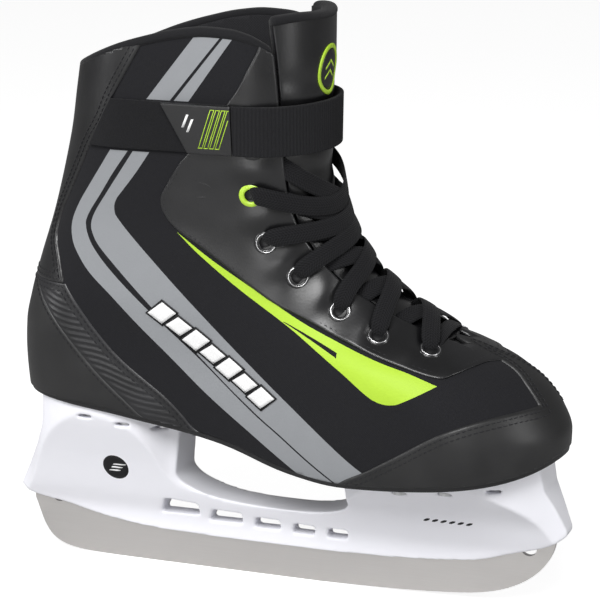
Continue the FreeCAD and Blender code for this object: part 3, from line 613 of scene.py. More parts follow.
def onePanel(name, zones, edge, look, slot, top=None, angles=(0, 2 * math.pi), heights=(60, 292), step=1.7,
             rows=(), prints=()):
    patch = Skin(zones, angles, heights, step)
    for zone, tag in prints:
        for part in zone:
            patch.cut(part, keepAll=True)
    if prints:
        places = patch.spots()
        middle = np.array([places[list(f)].mean(0) for f in patch.faces])
        for zone, tag in prints:
            inside = np.min([part(middle) for part in zone], axis=0) > 0
            patch.tags = [tag if hit else old for hit, old in zip(inside, patch.tags)]
    sewn = []
    for row in rows:
        sewn += patch.lines(edge, row, (upper["overlayTop"] if top is None else 0.0) + 0.12)
    height = top if top is not None else upper["overlayTop"]
    piece = patch.shell(name, height, upper["under"], look, edge, upper["roll"], upper["rollDepth"])
    place(piece, "root", [name], slot)
    return sewn


def grow(zone, by):
    return lambda p: zone(p) + by


# printed shapes on the fabric: stripes, their dividing line, the lime wedge and its slit
outer = [(-70.3, 236), (-77.8, 225.6), (-84.6, 216), (-92.5, 205), (-100, 194), (-104, 184.7), (-103, 176),
         (-98.6, 168.6), (-91.7, 160), (-79.8, 149), (-60, 129.7), (-34,
                                                                    106), (-6, 86), (13, 73.3), (24.4, 66)]
gapLeft = [(-61, 236), (-68.6, 225), (-77.9, 212.7), (-85.3, 201.8), (-92.3, 191.9), (-94.8, 186),
           (-93.5, 179.7),
           (-89.4, 172.6), (-80.8, 162.6), (-64.6, 147.6), (-30,
                                                            117.5), (-5,
                                                                     97.3), (10, 87.2), (26, 76), (38, 68)]
gapRight = [(-58, 236), (-65.9, 225), (-73.4, 214.5), (-81.8, 202.7), (-89.3, 191.8), (-91.7, 185.4),
            (-90.6, 180.5), (-87.2, 174.7), (-78, 164.8), (-62.4,
                                                           149.4), (-29.4,
                                                                    118.1), (-4.4, 97.9), (10.6, 87.8),
            (26.6, 76.6), (38.6, 68.6)]
inner = [(-49.5, 236), (-57.5, 224.4), (-65.5, 213.5), (-73, 204.3), (-77.2, 198.9), (-78.3, 193.7),
         (-76.1, 188.8), (-64.5, 176), (-37.8, 150), (-5.7, 121), (22.2, 99.4), (46.6, 81), (62, 71)]
below = between(60, 224.5)
above = between(251.0, 283.5)
stripeLeft = [leftOf(outer), notIn(leftOf(gapLeft)), below]
stripeRight = [leftOf(gapRight), notIn(leftOf(inner)), below]
upperStripes = [
    [notIn(leftOf([(-56.1, 252.5), (-30.6, 283.5)], smooth=False)),
     leftOf([(-43.7, 252.5), (-17.2, 283.5)], smooth=False), above],
    [notIn(leftOf([(-41.6, 252.5), (-15.5, 283.5)], smooth=False)),
     leftOf([(-34.1, 252.5), (-10.6, 283.5)], smooth=False), above]]
wedge = [notIn(leftOf([(-45, 185), (-27.2, 172.9), (-6, 160.6), (20, 146), (40, 137.7), (60.3, 130.8),
                       (76, 126.5),
                       (82.7, 124.3), (91.6, 121.1)])),
         leftOf([(-45, 185), (-32.5, 174), (-11.3, 158.8), (20.9, 139), (43.5, 124.8), (57, 115.4),
                 (62.3, 112.5),
                 (67.4, 111.4), (72.5, 111.9), (76.5, 113.6), (91.6, 121.1)]),
         between(-45, 91.6, axis=0)]
slit = [notIn(leftOf([(12, 145.2), (42.2, 132.6)], smooth=False, reach=1)),
        leftOf([(12, 144.8), (40.8, 130.9)], smooth=False, reach=1), between(12, 41.4, axis=0)]
prints = [(stripeLeft, 1), (stripeRight, 1), (upperStripes[0], 1), (upperStripes[1], 1), (wedge, 2),
          (slit, 0)]

o = upper["overlap"]
aboveEdge, rim = aboveSole(upper["soleGap"]), belowCollar(upper["bindingHeight"] - 1)
fabricZones = [aboveEdge, rim, grow(notIn(toeZone), o), grow(notIn(seams["eyestay"]), o),
               eitherOf(grow(notIn(seams["ribs"]), o), between(heelPanelTop - 2, 400)),
               eitherOf(grow(notIn(seams["stay"]), o), underHeelTop)]
allSewn = []
heelEdge = bothOf(seams["counter"], underHeelTop)
ribEdge = bothOf(seams["ribs"], underHeelTop)
stayEdge = bothOf(seams["stay"], between(heelPanelTop - 0.5, 400))
for side, turn in (("lateral", half), ("medial", otherHalf)):
    onePanel("quarter_" + side, fabricZones, grow(aboveEdge, 20), [looks["quarter"], looks["stripe"],
                                                                   looks["lime"]],
             "quarter_fabric", upper["fabricTop"], turn, prints=prints, step=2.2)
    front = outsideThroat(0)
    allSewn += onePanel("eyestay_" + side, [aboveEdge, rim, seams["eyestay"], front, grow(notIn(toeZone), 3)],
                        bothOf(seams["eyestay"], front), [looks["upper"]], "upper_leather",
                        lambda p: upper["overlayTop"] + puckers(p), turn, (118, 292), 1.5, (2.0,))
    wavy = lambda p: upper["ribTop"] + ribs["depth"] * np.clip(
        (ribEdge(p) - 4) / 2, 0, 1) * np.clip((grow(notIn(heelEdge), 0)(p)) / 2, 0, 1) * (
        0.5 + 0.5 * np.sin(2 * math.pi / ribs["pitch"] * (p[:, 2] - ribs["slope"] * p[:, 0]
                                                        + 0.9 * np.sin(p[:, 0] * 0.16)))) ** 1.5
    allSewn += onePanel("heel_panel_" + side, [aboveEdge, ribEdge, grow(notIn(heelEdge), 3)], ribEdge,
                        [looks["ribbed"]], "ribbed_panel", wavy, (0, 1.7) if side == "lateral" else
                        (2 * math.pi - 1.7, 2 * math.pi), (70, 156), 0.85, stitch["rows"])
allSewn += onePanel("heel_counter", [aboveEdge, heelEdge], heelEdge, [looks["guard"]], "guard_leather", None,
                    (-1.5, 1.5), (76, 156), 1.7, (2.0,))
allSewn += onePanel("back_stay", [stayEdge, rim], stayEdge, [looks["upper"]], "upper_leather", None,
                    (-1.7, 1.7), (152, 290), 1.7, stitch["rows"])
allSewn += onePanel("toe_cap", [aboveEdge, toeZone], toeZone, [looks["guard"]], "guard_leather", None,
                    (1.3, 2 * math.pi - 1.3), (66, 140), 1.6, stitch["rows"])
print("panels", len(allSewn), "seams")


# stitching: one short thread capsule after another along every seam line
def stitches(name, lines, body="root"):
    ring, points, faces = 6, [], []
    for line in lines:
        far = np.concatenate([[0], np.cumsum(np.linalg.norm(np.diff(line, axis=0), axis=1))])
        for k in range(int(far[-1] / stitch["pitch"])):
            ends = [[np.interp(k * stitch["pitch"] + t, far, line[:, a]) for a in range(3)]
                    for t in (0.3, 0.3 + stitch["length"])]
            a, b = Vector(ends[0]), Vector(ends[1])
            if (b - a).length < 0.5:
                continue
            step = (b - a).normalized()
            hit = skinTree.find_nearest((a + b) / 2)
            out = hit[1] if hit[1].dot(Vector((0, (a + b)[1], 0))) > -5 else -hit[1]
            acrossStep = step.cross(out).normalized()
            out = acrossStep.cross(step)
            start = len(points)
            for t, size, lift in ((0, 0.35, -0.14), (0.15, 0.9, 0), (0.5, 1, 0.06), (0.85, 0.9, 0),
                                  (1, 0.35, -0.14)):
                centre = a.lerp(b, t) + out * lift
                for r in range(ring):
                    turn = 2 * math.pi * r / ring
                    points.append(centre + (acrossStep * math.cos(turn) + out * math.sin(turn))
                                  * stitch["radius"] * size)
            for s in range(4):
                for r in range(ring):
                    q = start + s * ring
                    faces.append((q + r, q + (r + 1) % ring, q + ring + (r + 1) % ring, q + ring + r))
            faces.append(tuple(start + r for r in reversed(range(ring))))
            faces.append(tuple(start + 4 * ring + r for r in range(ring)))
    piece = makeMesh(name, points, faces, True, None, [looks["thread"]])
    return place(piece, body)


stitches("seam_stitching", allSewn)

# tongue, padding and lining
tongue = {"out": -1.0, "crown": 1.6, "leather": 1.6, "foamIn": -7.0, "flexStart": 0.249, "flexEnd": 0.256}
tongueGap = lambda p: np.where(p[:, 0] < -20, -50.0, throatHalf(p[:, 2]) - 0.8 - np.abs(p[:, 1]))
tongueZone = leftOf([(98.6, 120), (80, 124.6), (52, 132.6), (28, 144.6), (6.6, 162), (-6.4, 182),
                     (-11.4, 206),
                     (-13.4, 235), (-11.4, 300)][::-1])
belowTip = lambda p: tongueTop(p[:, 0]) - 2.0 - p[:, 2]
frontAngles = (math.pi - 2.1, math.pi + 2.1)


# soft folds across the tongue where the laces press, and a full tip
def tongueLift(p):
    tip = np.clip((p[:, 2] - 250) / 20, 0, 1)
    lift = tongue["out"] + tip * tongue["crown"] * np.clip(1 - (p[:, 1] / 36) ** 2, 0, 1)
    return lift + 0.35 * np.sin(p[:, 2] * 0.42 + p[:, 0] * 0.1) * (1 - tip)


def bendsAtTheStrap(piece, instead):
    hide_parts(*instead)
    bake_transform(piece)
    return piece


patch = Skin([tongueGap, belowTip, between(136, 400)], frontAngles, (134, 294), 1.7)
sides = lambda p: np.minimum(tongueGap(p), belowTip(p) + 3)
leatherTongue = patch.shell("tongue_leather", tongueLift, lambda p: tongueLift(p) - tongue["leather"],
                            [looks["upper"]],
                            sides, 1.0, 0.7)
bendsAtTheStrap(leatherTongue, ["tongue_face", "tongue_tip_face"])
patch = Skin([eitherOf(bothOf(tongueZone, between(100, 250.7)), bothOf(tongueGap, between(250.7, 400))),
              belowTip],
             frontAngles, (122, 294), 3.0)
foam = patch.shell("tongue_foam", -3.0, lambda p: tongue["foamIn"] + 0.6 * np.cos(p[:, 2] * 0.5),
                   [looks["foam"]],
                   tongueGap, 2.5, 0.8)
bendsAtTheStrap(foam, ["tongue_padding", "tongue_tip_padding"])

notTongue = lambda p: -np.minimum(tongueZone(p) + 0.8, p[:, 0] + 20)
tipSlot = lambda p: np.where(p[:, 2] < 251, 50.0, np.where(p[:, 0] < -20, 50.0, np.abs(p[:, 1])
                                                          - throatHalf(p[:, 2]) - 0.4))
rimZones = [belowCollar(2.6), eitherOf(notTongue, between(251, 400)), tipSlot]
puff = lambda p: 1.2 * np.exp(-((belowCollar(0)(p) - 14) / 9) ** 2)
padding = Skin([aboveSole(5.4), *rimZones], step=4.0).shell(
    "ankle_padding_roll", -2.1, -6.3, [looks["foam"]])
place(padding, "root", ["ankle_padding"], "foam")
lining = Skin([aboveSole(5.4), *rimZones], step=2.6).shell(
    "padded_lining", -6.4, lambda p: -7.4 - puff(p), [looks["lining"]])
place(lining, "root", ["inner_lining"], "lining_fabric")


# a soft edge rolled over a line: sections of an upright oval, swept along it
def rolledEdge(name, spine, outward, width, drop, look):
    spine, outward = np.array(spine), np.array(outward)
    turns = 14
    points, faces = [], []
    for k, (at, out) in enumerate(zip(spine, outward)):
        size = 0.72 if k in (0, len(spine) - 1) else 1.0
        for t in range(turns):
            a = 2 * math.pi * t / turns
            across, rise = math.cos(a), math.sin(a)
            squash = abs(across) ** 0.75 * math.copysign(1, across)
            points.append(at + out * (squash * width / 2 * size)
                          + np.array([0, 0, (rise * drop / 2) * size - drop / 2]))
    for k in range(len(spine) - 1):
        for t in range(turns):
            a, b = k * turns + t, k * turns + (t + 1) % turns
            faces.append((a, b, b + turns, a + turns))
    last = (len(spine) - 1) * turns
    faces.append(tuple(reversed(range(turns))))
    faces.append(tuple(last + t for t in range(turns)))
    piece = makeMesh(name, points, faces, True, None, [look])
    rebuild = bmesh.new()
    rebuild.from_mesh(piece.data)
    bmesh.ops.recalc_face_normals(rebuild, faces=rebuild.faces)
    rebuild.to_mesh(piece.data)
    rebuild.free()
    piece.modifiers.new("rounder", "SUBSURF").levels = 1
    piece.modifiers["rounder"].render_levels = 1
    return piece


# the line where a height curve meets the boot, between two angles, at the middle of the padding
def rimLine(height, start, end, count, depth):
    spine, outward = [], []
    for angle in np.linspace(start, end, count):
        z = 275.0
        for _ in range(40):
            z = 0.5 * z + 0.5 * float(height(bootPoint(np.array([angle]), np.array([z]))[0][0]))
        angle, z = np.array([angle]), np.array([z])
        centre = bootPoint(angle, z, depth)[0]
        step = bootPoint(angle, z, depth + 1)[0] - centre
        spine.append(centre)
        outward.append(step / np.linalg.norm(step))
    return spine, outward


rimRoll = {"width": 8.6, "drop": 5.4, "stand": 0.9}
collarEnd = next(a for a in np.linspace(math.pi - 0.1, 1, 400)
                 if abs(rimLine(collarHeight, a, a, 1, 0)[0][0][1]) > float(throatHalf(272)) + 0.5)
spine, outward = rimLine(lambda x: collarHeight(x) + rimRoll["stand"], collarEnd, -collarEnd, 150, -3.2)
place(rolledEdge("collar_roll", spine, outward, rimRoll["width"], rimRoll["drop"], looks["binding"]), "root",
      ["collar_binding"], "binding")
tipEnd = next(a for a in np.linspace(math.pi - 0.1, 1, 400)
              if abs(rimLine(tongueTop, a, a, 1, -1)[0][0][1]) > float(throatHalf(288)) - 1.5)
spine, outward = rimLine(lambda x: tongueTop(x) + 0.4, tipEnd, 2 * math.pi - tipEnd, 60, -3.2)
place(rolledEdge("tongue_roll", spine, outward, 8.4, 5.2, looks["binding"]), "tongue_tip", ["tongue_binding"],
      "binding")
bed = {"lift": 6.4, "thick": 3.2, "crown": 1.0, "inset": 7.7}
rings, points, faces = 9, [], []
for level in (0, 1):
    for r in range(rings + 1):
        for a in np.linspace(0, 2 * math.pi, 72, endpoint=False):
            rimPoint = bootPoint(np.array([a]), np.array([88.0]), -bed["inset"])[0]
            share = (r + 1) / (rings + 1)
            x, y = rimPoint[0] * share, rimPoint[1] * share
            edgeRound = 1 - max(0, share - 0.93) / 0.07 * 0.35
            z = float(soleHeight(x)) + bed["lift"] + level * (bed["thick"] * edgeRound
                                                             + bed["crown"] * (share ** 3) * (1 - share) * 4)
            points.append((x, y, z))
for level in (0, 1):
    for r in range(rings):
        for k in range(72):
            a, b = (level * (rings + 1) + r) * 72 + k, (level * (rings + 1) + r) * 72 + (k + 1) % 72
            faces.append((a, b, b + 72, a + 72) if level else (b, a, a + 72, b + 72))
    centre = tuple(level * (rings + 1) * 72 + k for k in range(72))
    faces.append(centre[::-1] if level else centre)
for k in range(72):
    a, b = rings * 72 + k, rings * 72 + (k + 1) % 72
    faces.append((a, b, b + (rings + 1) * 72, a + (rings + 1) * 72))
soft = makeMesh("cushioned_footbed", points, faces, True, None, [looks["bed"]])
place(soft, "root", ["footbed"], "footbed_fabric")
print("tongue, padding and collar")

# ankle strap
strap = {"low": 226.0, "high": 250.5, "inner": 2.1, "outer": 3.9, "ribPitch": 1.9, "ribDepth": 0.35,
         "tabOuter": 4.3, "tabUnder": 2.9, "tabFront": -13.8, "gap": 0.2, "hinge": -2.0, "anchorBack": -34.0}
strapBand = between(strap["low"], strap["high"])
level = np.linspace(0, 2 * math.pi, 721)
around = bootPoint(level, np.full(721, 238.0), strap["outer"])
arcLength = np.concatenate([[0], np.cumsum(np.linalg.norm(np.diff(around, axis=0), axis=1))])


def strapShape(name, ends, bottom, top, look, instead, body, slot, ribbed=False, step=1.0, roll=0.7):
    patch = Skin([strapBand, ends], (0.6, 2 * math.pi - 0.6), (strap["low"] - 1, strap["high"] + 1), step)
    edges = lambda p: np.minimum(strapBand(p), ends(p))
    height = top
    if ribbed:

        def height(p):
            mid = (backEdge(p[:, 2]) + frontEdge(p[:, 2])) / 2
            reach = (frontEdge(p[:, 2]) - backEdge(p[:, 2])) / 2
            turn = np.arccos(np.clip((mid - p[:, 0]) / reach, -1, 1))
            turn = np.where(p[:, 1] > 0, 2 * math.pi - turn, turn)
            along = np.interp(turn, level, arcLength)
            return top - strap["ribDepth"] * (0.5 + 0.5 * np.cos(2 * math.pi * along / strap["ribPitch"]))

    piece = patch.shell(name, height, bottom, [look], edges, roll, min(0.6, (0.5 if ribbed else 0.7)))
    return place(piece, body, instead, slot)


lateralEnd = lambda p: np.where(p[:, 1] < 0, p[:, 0] - strap["tabFront"] - strap["gap"],
                                p[:, 0] - strap["hinge"] - strap["gap"])
strapShape("ankle_strap", lateralEnd, strap["inner"], strap["outer"], looks["webbing"], ["strap_webbing"],
           "strap",
           "webbing", ribbed=True, step=0.75)
strapShape("sewn_strap_end", lambda p: np.where(p[:, 1] > 0,
                                                np.minimum(strap["hinge"] - strap["gap"] - p[:, 0],
           p[:, 0] - strap["anchorBack"]), -50.0), 0.3, strap["outer"], looks["webbing"],
           ["strap_anchor"], "root", "webbing")
tabBack = leftOf([(-36, 226), (-48.3, 250.5)], smooth=False)
tabEnds = lambda p: np.where(p[:, 1] < 0, np.minimum(-tabBack(p),
                                                     strap["tabFront"] - strap["gap"] - p[:, 0]), -50.0)
strapShape("strap_tab", tabEnds, strap["tabUnder"], strap["tabOuter"], looks["upper"], ["tab_leather"], "tab",
           "upper_leather")
strapShape("tab_hooks", tabEnds, strap["inner"], strap["tabUnder"] - 0.05, looks["loops"], ["tab_hook_pad"],
           "tab",
           "hook_fabric", roll=0.3)
patchBack = leftOf([(-89.5, 227), (-76, 250.0)], smooth=False)
strapShape("hook_field", lambda p: np.where(p[:, 1] < 0, np.minimum(-patchBack(p), -15.3 - p[:, 0]), -50.0),
           0.0, 1.3,
           looks["loops"], ["hook_patch"], "root", "hook_fabric", roll=0.5)


# a closed slab laid on a surface: a grid of points and their outward steps, lifted to two heights
def slab(name, grids, low, high, look, tree, aim, body, slot=None, instead=()):
    points, faces = [], []
    for grid, closed in grids:
        grid = np.array(grid, float)
        n, m = grid.shape[:2]
        start = len(points)
        for lift in (low, high):
            for i in range(n):
                for j in range(m):
                    hit, normal, _, _ = tree.ray_cast(Vector(grid[i, j]) - Vector(aim) * 80, Vector(aim))
                    if hit is None:
                        hit, normal, _, _ = tree.find_nearest(Vector(grid[i, j]))
                    normal = -normal if normal.dot(Vector(aim)) > 0 else normal
                    rim = 0.15 if lift == high and (j in (0,
                                                          m - 1) or (not closed and i in (0, n - 1))) else 0
                    points.append(hit + normal * (lift - rim))
        wrap = n if closed else n - 1
        for i in range(wrap):
            for j in range(m - 1):
                a, b = start + i * m + j, start + ((i + 1) % n) * m + j
                faces.append((a, b, b + 1, a + 1))
                faces.append((a + n * m, a + 1 + n * m, b + 1 + n * m, b + n * m))
            for j in (0, m - 1):
                a, b = start + i * m + j, start + ((i + 1) % n) * m + j
                faces.append((a, a + n * m, b + n * m, b) if j == 0 else (b, b + n * m, a + n * m, a))
        if not closed:
            for i in (0, n - 1):
                for j in range(m - 1):
                    a = start + i * m + j
                    faces.append((a, a + 1, a + 1 + n * m, a + n * m) if i == 0 else
                                 (a + 1, a, a + n * m, a + 1 + n * m))
    piece = makeMesh(name, points, faces, True, None, [look])
    rebuild = bmesh.new()
    rebuild.from_mesh(piece.data)
    bmesh.ops.recalc_face_normals(rebuild, faces=rebuild.faces)
    rebuild.to_mesh(piece.data)
    rebuild.free()
    return place(piece, body, instead, slot)


# flat grids to lay on a surface: a four-cornered patch and a ring, in a view's own two axes
def fourCorners(corners, axes, count=7):
    a, b, c, d = [np.array(q, float) for q in corners]
    grid = np.zeros((count, count, 3))
    for i, s in enumerate(np.linspace(0, 1, count)):
        for j, t in enumerate(np.linspace(0, 1, count)):
            grid[i, j, axes] = (a * (1 - s) + b * s) * (1 - t) + (d * (1 - s) + c * s) * t
    return grid, False


def ringGrid(centre, inside, outside, axes, count=56):
    grid = np.zeros((count, 4, 3))
    for i, a in enumerate(np.linspace(0, 2 * math.pi, count, endpoint=False)):
        for j, r in enumerate(np.linspace(inside, outside, 4)):
            grid[i, j, axes] = np.array(centre) + r * np.array([math.cos(a), math.sin(a)])
    return grid, True


def treeOf(*pieces):
    points, faces = [], []
    for piece in pieces:
        start = len(points)
        points += [tuple(v.co / mm) for v in piece.data.vertices]
        faces += [tuple(start + i for i in f.vertices) for f in piece.data.polygons]
    return BVHTree.FromPolygons(points, faces)


fromSide, fromFront = (0, 1, 0), (-1, 0, 0)
tabTree = treeOf(bpy.data.objects["strap_tab"])
bars = {"start": (-34.5, 229.0), "step": 2.9, "width": 2.3, "lean": 7.2, "height": 19.5, "line": 0.42,
        "count": 4}
barFrames = []
for k in range(bars["count"]):
    x, z = bars["start"][0] + k * bars["step"] + 5, bars["start"][1]
    lean, w, h, t = bars["lean"], bars["width"], bars["height"], bars["line"]
    low, high = (x, z), (x + lean, z + h)
    for a, b in (((0, 0), (t, 0)), ((w - t, 0), (w, 0))):
        barFrames.append(fourCorners([(low[0] + a[0], low[1]), (low[0] + b[0], low[1]),
                                      (high[0] + b[0], high[1]),
                                      (high[0] + a[0], high[1])], [0, 2], 5))
    for zz in (0, h - t):
        shift = lean * zz / h
        barFrames.append(fourCorners([(x + shift, z + zz), (x + shift + w, z + zz),
                                      (x + shift + w, z + zz + t),
                                      (x + shift, z + zz + t)], [0, 2], 3))
slab("tab_bars", barFrames, -0.1, 0.16, looks["lime"], tabTree, fromSide, "tab", "accent_green")
tabMark = [fourCorners([(-37.6 + a, 239 + b), (-36.3 + a, 239 + b), (-33.4 + a, 245.5 + b),
                        (-34.7 + a, 245.5 + b)],
                       [0, 2], 3) for a, b in ((0, 0), (2.4, -2.2))]
slab("tab_mark", tabMark, -0.1, 0.16, looks["white"], tabTree, fromSide, "tab")
print("strap")

# marks on the boot: generic shapes only
quarterTree = treeOf(bpy.data.objects["quarter_lateral"])
blocks = {"from": (-57.5, 146.6), "to": (4.6, 102.6), "count": 7, "height": 9.6, "gap": 1.9, "lean": 3.0,
          "border": 1.0}


def blockRow(border):
    a, b = np.array(blocks["from"]), np.array(blocks["to"])
    step = (b - a) / np.linalg.norm(b - a)
    across = np.array([-step[1], step[0]])
    pitch = np.linalg.norm(b - a) / blocks["count"]
    for k in range(blocks["count"]):
        width = pitch - blocks["gap"]
        tall = blocks["height"] * (1.0 if k % 2 == 0 else 0.82)
        middle = a + step * pitch * (k + 0.5)
        lean = step * blocks["lean"] / 2
        e, h = width / 2 + border, tall / 2 + border
        yield fourCorners([middle - step * e - across * h - lean, middle + step * e - across * h - lean,
                           middle + step * e + across * h + lean,
                           middle - step * e + across * h + lean], [0, 2])


slab("stripe_block_borders", list(blockRow(blocks["border"])), -0.2, 0.10, looks["ink"], quarterTree,
     fromSide, "root")
slab("stripe_blocks", list(blockRow(0)), -0.1, 0.24, looks["white"], quarterTree, fromSide, "root")
emblem = {"at": (-31.8, 201.3), "radius": 10.2, "ring": 1.0}
stayTree = treeOf(bpy.data.objects["eyestay_lateral"])
cx, cz = emblem["at"]
slab("ankle_emblem", [ringGrid(emblem["at"], emblem["radius"] - emblem["ring"], emblem["radius"], [0, 2]),
                      fourCorners([(cx - 5.5, cz - 3.2), (cx + 3.0, cz - 3.2), (cx + 5.5, cz - 0.8),
                                   (cx - 3.0, cz - 0.8)], [0, 2], 4),
                      fourCorners([(cx - 5.5, cz + 0.8), (cx + 3.0, cz + 0.8), (cx + 5.5, cz + 3.2),
                                   (cx - 3.0, cz + 3.2)], [0, 2], 4)],
     -0.4, 0.28, looks["upper"], stayTree, fromSide, "root", "upper_leather")
slab("emblem_ground", [ringGrid(emblem["at"], 0.01, emblem["radius"] - 0.6, [0, 2])], -0.4, 0.12,
     looks["blackRubber"],
     stayTree, fromSide, "root")
tongueTree = treeOf(leatherTongue)
badge = {"height": 264.2, "radius": 12.5, "ring": 2.2}
slab("badge_ring", [ringGrid((0, badge["height"]), badge["radius"] - badge["ring"], badge["radius"],
                             [1, 2])], -0.4,
     0.55, looks["limeRubber"], tongueTree, fromFront, "tongue_tip", "accent_green", ["tongue_badge"])
slab("badge_ground", [ringGrid((0, badge["height"]), 0.01, badge["radius"] - badge["ring"] + 0.2, [1, 2])],
     -0.4, 0.2,
     looks["blackRubber"], tongueTree, fromFront, "tongue_tip", "upper_leather")
chevrons = []
for lift in (-4.2, 0.6):
    z = badge["height"] + lift
    for sign in (-1, 1):
        chevrons.append(fourCorners([(0, z + 3), (sign * 5.6, z - 0.6), (sign * 5.6, z + 0.7), (0, z + 4.3)],
                                    [1, 2], 4))
slab("badge_chevrons", chevrons, 0.0, 0.4, looks["limeRubber"], tongueTree, fromFront, "tongue_tip",
     "accent_green")
print("marks")


# eyelets: turned profiles at every row, on both sides
eyelet = {"profile": [(3.1, -2.6), (3.1, 0.5), (3.35, 0.95), (3.9, 1.15), (4.7, 1.10), (5.5, 0.75),
                      (5.95, 0.25),
                      (5.9, -0.1), (3.75, -0.3), (3.65, -2.6)],
          "ring": [(4.35, 0.7), (4.4, 1.2), (4.62, 1.38), (4.9, 1.2), (4.95, 0.7)],
          "shadeDisc": [(0.0, 0.25), (3.4, 0.25), (3.4, 0.1), (0.0, 0.1)], "turns": 40, "sink": -0.15}


def outwardAt(spot):
    hit = skinTree.find_nearest(Vector(spot))
    normal = hit[1]
    return -normal if normal[1] * spot[1] < 0 else normal


def lathe(name, profile, centres, look, body="root", instead=(), slot=None):
    points, faces, turns, n = [], [], eyelet["turns"], len(profile)
    for centre, out in centres:
        start = len(points)
        first = out.cross(Vector((0, 0, 1))).normalized()
        second = out.cross(first)
        for t in range(turns):
            a = 2 * math.pi * t / turns
            ray = first * math.cos(a) + second * math.sin(a)
            points += [centre + ray * r + out * h for r, h in profile]
        for t in range(turns):
            for k in range(n):
                a, b = start + t * n + k, start + ((t + 1) % turns) * n + k
                c, d = start + t * n + (k + 1) % n, start + ((t + 1) % turns) * n + (k + 1) % n
                faces.append((a, b, d, c))
    piece = makeMesh(name, points, faces, True, None, [look])
    rebuild = bmesh.new()
    rebuild.from_mesh(piece.data)
    bmesh.ops.recalc_face_normals(rebuild, faces=rebuild.faces)
    rebuild.to_mesh(piece.data)
    rebuild.free()
    return place(piece, body, instead, slot)


def eyeletSeats(side):
    seats = []
    for spot in eyeletSpots:
        spot = np.array([spot[0], side * abs(spot[1]), spot[2]])
        out = outwardAt(spot)
        lift = upper["overlayTop"] + float(puckers(spot[None])[0]) + eyelet["sink"]
        seats.append((Vector(spot) + out * lift, out))
    return seats


seats = {"lateral": eyeletSeats(-1), "medial": eyeletSeats(1)}
coloured = eyelets["coloured"]
for side in seats:
    black = [seat for k, seat in enumerate(seats[side]) if k != coloured]
    lathe("black_eyelets_" + side, eyelet["profile"], black, looks["eyelet"], "root", ["eyelets_" + side],
          "eyelet_black")
    lathe("eyelet_rings_" + side, eyelet["ring"], black[:-1], looks["ring"])
# painted shade: a thin black disc closes the mouth of every eyelet so that the hole reads as dark
lathe("eyelet_shade_discs", eyelet["shadeDisc"], seats["lateral"] + seats["medial"], looks["ink"])
lathe("lime_eyelets", eyelet["profile"], [seats[side][coloured] for side in seats], looks["limeEyelet"],
      "root",
      ["coloured_eyelets"], "accent_green")

# laces: flat ribbons from each eyelet over the tongue and under the next eyestay edge
lace = {"width": 9.4, "thick": 1.5, "holeWidth": 5.6, "lowLift": 1.7, "highLift": 3.3, "bulge": 2.2,
        "steps": 34,
        "tuck": -2.2}


def ribbon(name, routes, look, instead, slot):
    section = 12
    points, faces, along, across = [], [], [], []
    for route in routes:
        start, travelled = len(points), 0.0
        for k, (at, out, width, thick) in enumerate(route):
            before, after = route[max(0, k - 1)][0], route[min(len(route) - 1, k + 1)][0]
            step = (after - before).normalized()
            sideways = step.cross(out).normalized()
            up = sideways.cross(step)
            travelled += (at - route[k - 1][0]).length if k else 0.0
            for s in range(section):
                a = 2 * math.pi * s / section
                u = math.copysign(abs(math.cos(a)) ** 0.55, math.cos(a)) * width / 2
                v = math.copysign(abs(math.sin(a)) ** 0.8, math.sin(a)) * thick / 2
                crown = -0.12 * (u / (width / 2)) ** 2
                points.append(at + sideways * u + up * (v + crown))
                along.append(travelled)
                across.append(u)
        n = len(route)
        for k in range(n - 1):
            for s in range(section):
                a, b = start + k * section + s, start + k * section + (s + 1) % section
                faces.append((b, a, a + section, b + section))
        faces.append(tuple(start + s for s in range(section)))
        faces.append(tuple(start + (n - 1) * section + s for s in reversed(range(section))))
    piece = makeMesh(name, points, faces, True, None, [look])
    addAttribute(piece, "along", along)
    addAttribute(piece, "across", across)
    piece.modifiers.new("rounder", "SUBSURF").levels = 1
    return place(piece, "root", instead, slot)


# one strand: out of its eyelet, over the front of the boot, and in under the far edge one row higher
def strand(row, sign, lift):
    side, far = ("lateral", "medial") if sign < 0 else ("medial", "lateral")
    hole, holeOut = seats[side][row]
    nextHole, nextOut = seats[far][row + 1]
    edgeY = -sign * (float(throatHalf(nextHole.z)) + 3.5)
    start = hole
    end = Vector((nextHole.x + (eyeletSpots[row][0] - eyeletSpots[row + 1][0]) * 0.18, edgeY,
                  nextHole.z - 0.4))
    toward = (holeOut + nextOut)
    toward.y = 0
    toward.normalize()
    route = [(hole - holeOut * 2.2 + (end - hole).normalized() * 0.4, holeOut, lace["holeWidth"] * 0.9,
              lace["thick"]),
             (hole + holeOut * 0.2 + (end - hole).normalized() * 0.9, holeOut, lace["holeWidth"],
              lace["thick"])]
    for k in range(1, lace["steps"] + 1):
        t = k / lace["steps"]
        guess = start.lerp(end, t)
        turn = min(1, t / 0.45)
        look = holeOut.lerp(toward, turn * turn * (3 - 2 * turn)).normalized()
        hit, normal, _, _ = skinTree.ray_cast(guess + look * 60, -look)
        if hit is None:
            continue
        normal = -normal if normal.dot(toward) < 0 else normal
        rise = min(1, t / 0.12)
        fall = min(1, (1 - t) / 0.16)
        smoothRise, smoothFall = rise * rise * (3 - 2 * rise), fall * fall * (3 - 2 * fall)
        out = 1.4 + (lift - 1.4) * smoothRise + lace["bulge"] * math.sin(math.pi * t) ** 2
        out = lace["tuck"] + (out - lace["tuck"]) * smoothFall
        if t < 0.7:
            out += float(puckers(np.array(hit)[None])[0])
        width = lace["holeWidth"] + (lace["width"] - lace["holeWidth"]) * min(1, t / 0.10)
        route.append((hit + normal * out, normal, width, lace["thick"]))
    return smoothRoute(route)


def smoothRoute(route):
    for _ in range(4):
        inner = [((a[0] + b[0] * 2 + c[0]) / 4, (a[1] + b[1] * 2 + c[1]).normalized(), b[2], b[3])
                 for a, b, c in zip(route, route[1:], route[2:])]
        route = [route[0]] + inner + [route[-1]]
    return route


